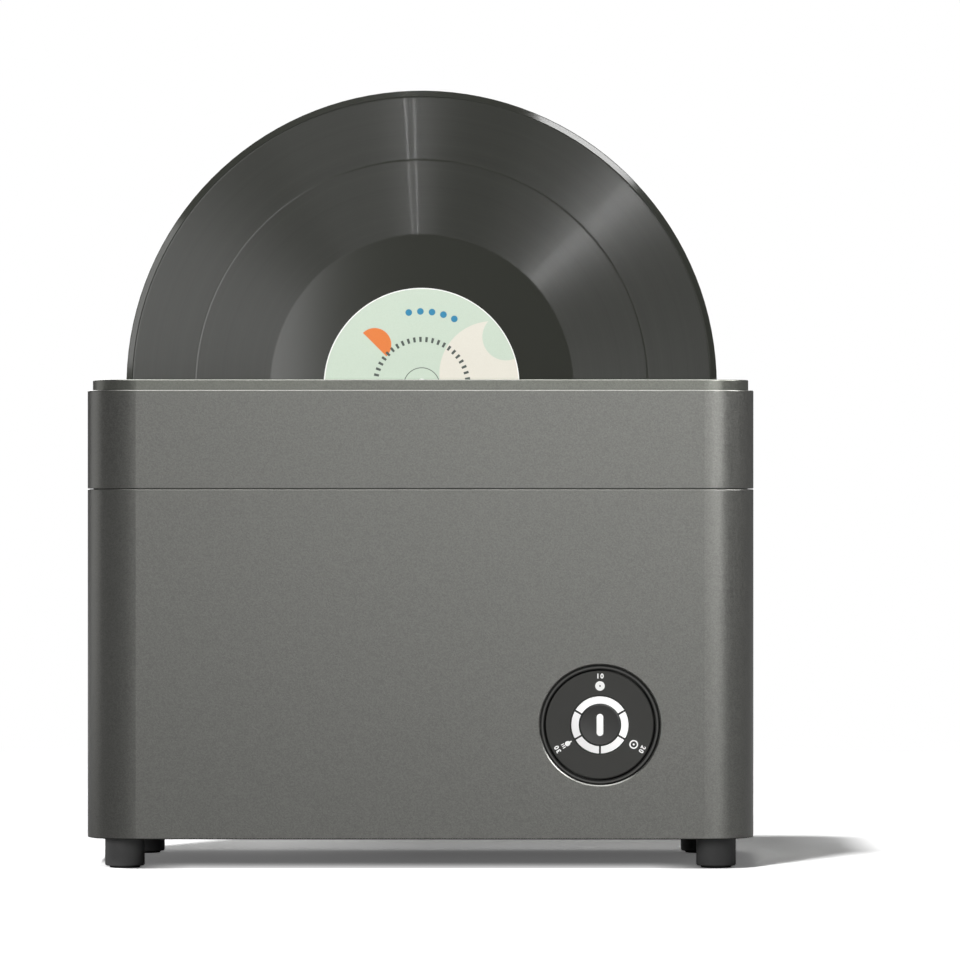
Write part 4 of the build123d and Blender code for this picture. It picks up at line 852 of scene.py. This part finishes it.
class CLEANER_OT_drive(DressStep, bpy.types.Operator):
    """Finish the motor, its bracket and the gears"""

    bl_idname = "cleaner.drive"
    bl_label = "Record drive"

    def execute(self, context):
        motor = middle_of("drive_motor")
        motor_steel = turned_metal("motor_steel", STEEL, motor.x, motor.z, roughness=0.34)
        give(motor_steel, "drive_motor", "motor_shaft")
        give(turned_metal("pinion_brass", BRASS, motor.x, motor.z), "motor_pinion")
        give(brushed_metal("bracket_steel", (0.52, 0.52, 0.52), stretch=(1.0, 1.0, 0.06)), "motor_bracket")
        ivory = shade_of(228, 226, 216)
        give(moulded_plastic("gear_plastic", ivory, roughness=0.42, grain=0.8 * MM), "driven_gear")
        return {"FINISHED"}


class CLEANER_OT_transducers(DressStep, bpy.types.Operator):
    """Finish the two ultrasonic transducers"""

    bl_idname = "cleaner.transducers"
    bl_label = "Transducers"

    def execute(self, context):
        height = middle_of("transducer_heads").z
        give(turned_metal("head_aluminium", (0.76, 0.76, 0.77), 0.0, height), "transducer_heads")
        give(fired_ceramic("piezo_ceramic", (0.36, 0.31, 0.26)), "piezo_rings")
        mass_steel = turned_metal("mass_steel", STEEL, 0.0, height)
        give(mass_steel, "transducer_back_masses", "transducer_bolts")
        return {"FINISHED"}


class CLEANER_OT_drain(DressStep, bpy.types.Operator):
    """Finish the drain valve, its solenoid and its spring"""

    bl_idname = "cleaner.drain"
    bl_label = "Drain valve"

    def execute(self, context):
        give(moulded_plastic("valve_plastic", shade_of(66, 66, 66), roughness=0.48), "drain_valve_body")
        give(brushed_metal("solenoid_steel", STEEL, stretch=(1.0, 0.06, 1.0)), "drain_solenoid")
        plunger_height = middle_of("valve_plunger").z
        give(turned_metal("plunger_steel", (0.56, 0.56, 0.56), 0.0, plunger_height), "valve_plunger")
        self.make_spring(turns=5, wire=0.4 * MM)
        return {"FINISHED"}

    def make_spring(self, turns, wire):
        """Coil spring behind the armature. The real spring shortens as the valve opens; this one is built at
        one length and fixed to the casing.
        """
        low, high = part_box("valve_spring")
        middle = (low + high) / 2
        length = high.y - low.y
        side = (high.x - middle.x - wire, 0.0, 0.0)
        start_clean()
        turn = (FACE_FRONT, 0.0, 0.0)
        bpy.ops.mesh.primitive_circle_add(vertices=12, radius=wire, location=side, rotation=turn)
        fix_place()
        bpy.ops.object.modifier_add(type="SCREW")
        coil = bpy.context.active_object
        screw = coil.modifiers[-1]
        screw.screw_offset = (length - 2 * wire) / turns
        screw.iterations = turns
        screw.steps = 28
        screw.render_steps = 28
        bpy.ops.object.modifier_apply(modifier=screw.name)
        edit_all()
        bpy.ops.mesh.fill_holes(sides=0)
        bpy.ops.mesh.normals_make_consistent(inside=False)
        leave_edit()
        coil.rotation_euler = (-FACE_FRONT, 0.0, 0.0)
        coil.location = (middle.x, low.y + wire, middle.z)
        wire_steel = brushed_metal("spring_steel", (0.6, 0.6, 0.59), stretch=(1.0, 0.2, 1.0), roughness=0.28)
        piece = settle("valve_coil", wire_steel, "casing")
        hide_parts("valve_spring")
        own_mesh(piece)


class CLEANER_OT_tank(DressStep, bpy.types.Operator):
    """Finish the pull-out water tank and its lid"""

    bl_idname = "cleaner.tank"
    bl_label = "Water tank"

    def execute(self, context):
        give(smoked_tank(), "water_tank", "tank_lid")
        return {"FINISHED"}


class CLEANER_OT_air(DressStep, bpy.types.Operator):
    """Finish the blower, its duct and the filter"""

    bl_idname = "cleaner.air"
    bl_label = "Drying air"

    def execute(self, context):
        give(moulded_plastic("blower_plastic", shade_of(60, 60, 62)), "blower_housing", "air_duct")
        give(moulded_plastic("impeller_plastic", shade_of(46, 46, 48), roughness=0.4), "blower_impeller")
        give(wound_copper(), "blower_motor")
        give(filter_foam(), "air_filter")
        return {"FINISHED"}


class CLEANER_OT_electronics(DressStep, bpy.types.Operator):
    """Finish the boards and what stands on them"""

    bl_idname = "cleaner.electronics"
    bl_label = "Electronics"

    def execute(self, context):
        give(circuit_board_finish(), "main_board", "panel_board")
        give(fired_ceramic("ferrite", (0.05, 0.05, 0.052)), "driver_transformer")
        sink_aluminium = brushed_metal("sink_aluminium", (0.74, 0.74, 0.75), stretch=(1.0, 1.0, 0.08))
        give(sink_aluminium, "heat_sink", "filter_capacitors")
        give(moulded_plastic("jack_plastic", shade_of(36, 36, 36), roughness=0.4), "power_jack")
        return {"FINISHED"}


class CLEANER_OT_screws(DressStep, bpy.types.Operator):
    """Finish the screws"""

    bl_idname = "cleaner.screws"
    bl_label = "Screws"

    def execute(self, context):
        steel = brushed_metal("screw_steel", STEEL, stretch=(1.0, 1.0, 0.3), roughness=0.3)
        give(steel, *[name for name in nodes if name.endswith("_screws")])
        return {"FINISHED"}


# Soft boxes hung round an axis along Y. A row holds the name, the angle seen from the front, the reach from
# the axis, the place along Y, the width and length, the setting of the power, the group that the box lights,
# and what is special about it.
SOFT_BOXES = (
    ("casing_panel", 45.0, 1.0, -2.0, (2.0, 2.6), "panel_power", "casing", {"upright": True}),
    ("right_box", 38.0, 1.65, -2.05, (1.0, 0.35), "right_power", "casing", {"upright": True}),
    ("over_box", 90.0, 1.4, -0.12, (0.8, 1.6), "over_power", "casing", {"bounces": False}),
    (
        "corner_box", 42.0, 1.4, -0.12, (0.5, 0.8), "corner_power", "casing",
        {"axis": panel_axis, "bounces": False},
    ),
    ("brow_box", 90.0, 1.55, -1.15, (0.35, 1.6), "brow_power", "casing", {"bounces": False}),
    ("key_box", 45.8, 0.82, -2.2, (0.6, 0.07), "key_power", "record", {}),
    ("rim_box", 57.0, 1.32, -2.2, (0.07, 0.52), "rim_power", "record", {}),
    ("top_strip", 92.3, 1.5, -1.6, (0.7, 0.008), "strip_power", "record", {}),
    ("top_strip", 94.1, 1.5, -1.6, (0.7, 0.008), "strip_power", "record", {}),
    ("top_box", 104.0, 1.5, -1.6, (0.7, 0.95), "top_power", "record", {}),
    ("side_box", 160.0, 1.0, -2.4, (0.9, 0.7), "side_power", "record", {}),
    ("left_card", 166.0, 0.412, -3.15, (0.4, 0.5), "card_power", "record", {"upright": True}),
    ("back_box", 178.0, 1.9, 0.7, (1.2, 1.2), "back_power", "off_floor", {}),
    ("rear_box", 110.0, 1.2, 2.2, (1.6, 1.6), "rear_power", "off_floor", {}),
    ("front_fill", 160.0, 1.3, -2.2, (0.9, 0.9), "fill_power", "off_floor", {"mirrored": False}),
)
SUN_PLACE = Vector((-0.237, -0.458, 0.857))
SUN_WIDTH = math.radians(6.0)
FLOOR_RADIUS = 6.0
SHADOW_REACH = 0.7
WHITE_REACH = 1.3


class CLEANER_OT_stage(DressStep, bpy.types.Operator):
    """Build the pale floor, the lamps, the room and the camera"""

    bl_idname = "cleaner.stage"
    bl_label = "Stage"

    def execute(self, context):
        stage = context.scene.stage_settings
        floor = self.make_floor(stage)
        self.make_room(stage)
        self.make_lamps(stage, floor)
        self.make_camera(stage)
        context.scene.view_settings.view_transform = "Standard"
        return {"FINISHED"}

    def make_floor(self, stage):
        start_clean()
        bpy.ops.mesh.primitive_circle_add(
            vertices=96, radius=FLOOR_RADIUS, fill_type="NGON", location=(0.0, 0.0, 0.0)
        )
        floor = bpy.context.active_object
        floor.name = "floor"
        floor.data.materials.append(self.floor_finish(stage))
        return floor

    def floor_finish(self, stage):
        """Pale floor that keeps the shadow near the object, lifted in places by painted light, and is plain
        white further out.
        """
        g = Graph("pale_floor")
        rays = g.add("ShaderNodeLightPath").outputs
        seen = rays["Is Camera Ray"]
        unseen_gain = 0.8
        gain = g.remap(seen, 0.0, 1.0, unseen_gain, stage.floor_gain)
        mottle = g.spread(g.noise(8.0 * MM, detail=3.0), 0.995, 1.005)
        tone = g.product(gain, mottle)
        colour = g.add("ShaderNodeCombineColor", {0: tone, 1: tone, 2: tone})
        lit = g.add("ShaderNodeBsdfDiffuse", {"Color": colour.outputs[0]})
        # Painted light: emission that only the camera sees lifts the floor's shadow.
        under = g.product(seen, self.light_under(g, stage))
        near = g.sum_of(lit, g.add("ShaderNodeEmission", {"Strength": under}))
        mirrored = g.remap(g.split(g.place)[0], 0.2, 0.9, 0.6, 0.35)
        white = g.add("ShaderNodeEmission", {"Strength": g.remap(seen, 0.0, 1.0, mirrored, 1.0)})
        far = g.remap(g.vector("LENGTH", g.place), SHADOW_REACH, WHITE_REACH, 0.0, 1.0, "SMOOTHSTEP")
        reflected = g.math("MAXIMUM", rays["Is Glossy Ray"], rays["Is Transmission Ray"])
        share = g.product(far, g.math("MAXIMUM", seen, reflected))
        return g.close(g.add("ShaderNodeMixShader", {0: share, 1: near.outputs[0], 2: white.outputs[0]}))

    def light_under(self, g, stage):
        """Painted light that the camera alone sees, which lifts the floor's shadow under the machine and
        beside it: more at its rear and between its front feet.
        """
        x, y, _ = g.split(g.place)
        side = g.math("ABSOLUTE", x)
        rear = g.math("POWER", g.remap(y, 0.0, 0.15, 0.45, 1.0), 3.0)
        rear_left = g.product(g.remap(x, -0.08, 0.0, 0.16, 0.0), rear)
        level = g.math("ADD", g.remap(y, 0.0, 0.15, 0.08, 0.03), rear_left)
        under = g.product(g.remap(side, 0.150, 0.185, 1.0, 0.0), level)
        ramp = g.math("POWER", g.remap(y, -0.068, -0.018, 1.0, 0.0), 1.6)
        between_feet = g.remap(side, 0.115, 0.142, 1.0, 0.0)
        front = g.product(g.product(ramp, 0.56), between_feet)
        left = g.remap(x, -0.160, -0.146, 0.8, 0.0)
        corner = g.product(left, g.remap(y, -0.03, 0.0, 1.0, 0.0))
        right = g.remap(x, 0.190, 0.215, 0.0, 1.0)
        beside = g.product(right, g.remap(y, 0.08, 0.16, 0.03, 0.11))
        total = stage.floor_glow
        for part in (under, front, corner, beside):
            total = g.math("ADD", part, total)
        return total

    def make_room(self, stage):
        """Dim room that looks plain white to the camera."""
        world = bpy.data.worlds.new("studio_room")
        world.use_nodes = True
        bpy.context.scene.world = world
        tree = world.node_tree
        tree.nodes.clear()
        seen = add_node(tree, "ShaderNodeLightPath").outputs["Is Camera Ray"]
        level = add_node(tree, "ShaderNodeMix", {"Factor": seen, 2: stage.ambient, 3: 1.0}, data_type="FLOAT")
        background = add_node(tree, "ShaderNodeBackground", {"Color": WHITE, "Strength": level.outputs[0]})
        add_node(tree, "ShaderNodeOutputWorld", {"Surface": background.outputs[0]})

    def make_lamps(self, stage, floor):
        start_clean()
        prints = ("icon_", "numeral_")
        marks = [piece for piece in bpy.context.scene.objects if piece.name.startswith(prints)]
        panel = ("panel_bezel", "mode_disc", "light_carrier", "light_ring", "power_mark")
        not_casing = [nodes[name] for name in (*RECORD_NODES, "feet", "foot_pads", *panel)]
        groups = {
            "record": self.light_group("record_light", [nodes[name] for name in RECORD_NODES], "INCLUDE"),
            "casing": self.light_group("casing_light", not_casing + [floor] + marks, "EXCLUDE"),
            "off_floor": self.light_group("off_floor", [floor], "EXCLUDE"),
        }
        for *box, power, lit, extras in SOFT_BOXES:
            self.add_box(*box, getattr(stage, power), groups[lit], **extras)
        sun = self.add_lamp("SUN", "high_sun", SUN_PLACE, energy=stage.sun_strength, angle=SUN_WIDTH)
        sun.rotation_euler = (-SUN_PLACE).to_track_quat("-Z", "Y").to_euler()
        sun.visible_glossy = False

    def light_group(self, name, pieces, state):
        """Pieces that a lamp alone lights, or that it leaves out."""
        group = bpy.data.collections.new(name)
        for piece in pieces:
            group.objects.link(piece)
        for entry in group.collection_objects:
            entry.light_linking.link_state = state
        return group

    def add_lamp(self, kind, name, place, **settings):
        bpy.ops.object.light_add(type=kind, location=place)
        lamp = bpy.context.active_object
        lamp.name = name
        lamp.visible_camera = False
        for key, value in settings.items():
            setattr(lamp.data, key, value)
        return lamp

    def add_box(
        self, name, angle, reach, depth, size, power, group,
        axis=None, upright=False, bounces=True, mirrored=True,
    ):
        """Hangs a soft box that faces its axis, long way outwards or upright."""
        axis = axis or Vector((0.0, 0.0, record_axis.z))
        turn = math.radians(angle)
        outwards = Vector((math.cos(turn), 0.0, math.sin(turn)))
        place = axis + outwards * reach + Vector((0.0, depth, 0.0))
        width, length = size
        lamp = self.add_lamp("AREA", name, place, energy=power, shape="RECTANGLE", size=width, size_y=length)
        facing = (axis - place).normalized()
        long_way = Vector((0.0, 0.0, 1.0)) if upright else outwards
        along = (long_way - facing * long_way.dot(facing)).normalized()
        lamp.rotation_euler = Matrix((along, -facing.cross(along), -facing)).transposed().to_euler()
        lamp.light_linking.receiver_collection = group
        lamp.visible_glossy = mirrored
        if not bounces:
            lamp.data.cycles.max_bounces = 0

    def make_camera(self, stage):
        start_clean()
        place = (stage.camera_x, casing_low.y - stage.camera_distance, stage.camera_height)
        bpy.ops.object.camera_add(location=place, rotation=(FACE_FRONT, 0.0, 0.0))
        camera = bpy.context.active_object
        camera.name = "front_camera"
        camera.data.sensor_width = 36.0
        camera.data.lens = stage.focal_length
        camera.data.clip_start = 0.05
        camera.data.clip_end = 50.0
        bpy.context.scene.camera = camera


# ---- panel and registration ----

STEPS = (
    CLEANER_OT_casing,
    CLEANER_OT_feet,
    CLEANER_OT_record,
    CLEANER_OT_panel,
    CLEANER_OT_panel_print,
    CLEANER_OT_bath,
    CLEANER_OT_drive,
    CLEANER_OT_transducers,
    CLEANER_OT_drain,
    CLEANER_OT_tank,
    CLEANER_OT_air,
    CLEANER_OT_electronics,
    CLEANER_OT_screws,
    CLEANER_OT_stage,
)


class CLEANER_PT_finishes(bpy.types.Panel):
    """Lists the finishing steps and their settings"""

    bl_label = "Record Cleaner"
    bl_idname = "CLEANER_PT_finishes"
    bl_space_type = "VIEW_3D"
    bl_region_type = "UI"
    bl_category = "Record Cleaner"

    def draw(self, context):
        for step in STEPS:
            self.layout.operator(step.bl_idname, text=step.bl_label)
        for group in SETTINGS:
            box = self.layout.box()
            settings = getattr(context.scene, group)
            for name in settings.bl_rna.properties.keys():
                if name not in ("rna_type", "name"):
                    box.prop(settings, name)


SETTINGS = {
    "casing_finish": CasingFinish,
    "record_finish": RecordFinish,
    "panel_finish": PanelFinish,
    "stage_settings": StageSettings,
}


def register():
    for name, group in SETTINGS.items():
        bpy.utils.register_class(group)
        setattr(bpy.types.Scene, name, bpy.props.PointerProperty(type=group))
    for step in STEPS:
        bpy.utils.register_class(step)
    bpy.utils.register_class(CLEANER_PT_finishes)


def unregister():
    bpy.utils.unregister_class(CLEANER_PT_finishes)
    for step in reversed(STEPS):
        bpy.utils.unregister_class(step)
    for name, group in SETTINGS.items():
        delattr(bpy.types.Scene, name)
        bpy.utils.unregister_class(group)


def main():
    register()
    for step in STEPS:
        group, name = step.bl_idname.split(".")
        getattr(getattr(bpy.ops, group), name)()


if __name__ == "__main__":
    main()
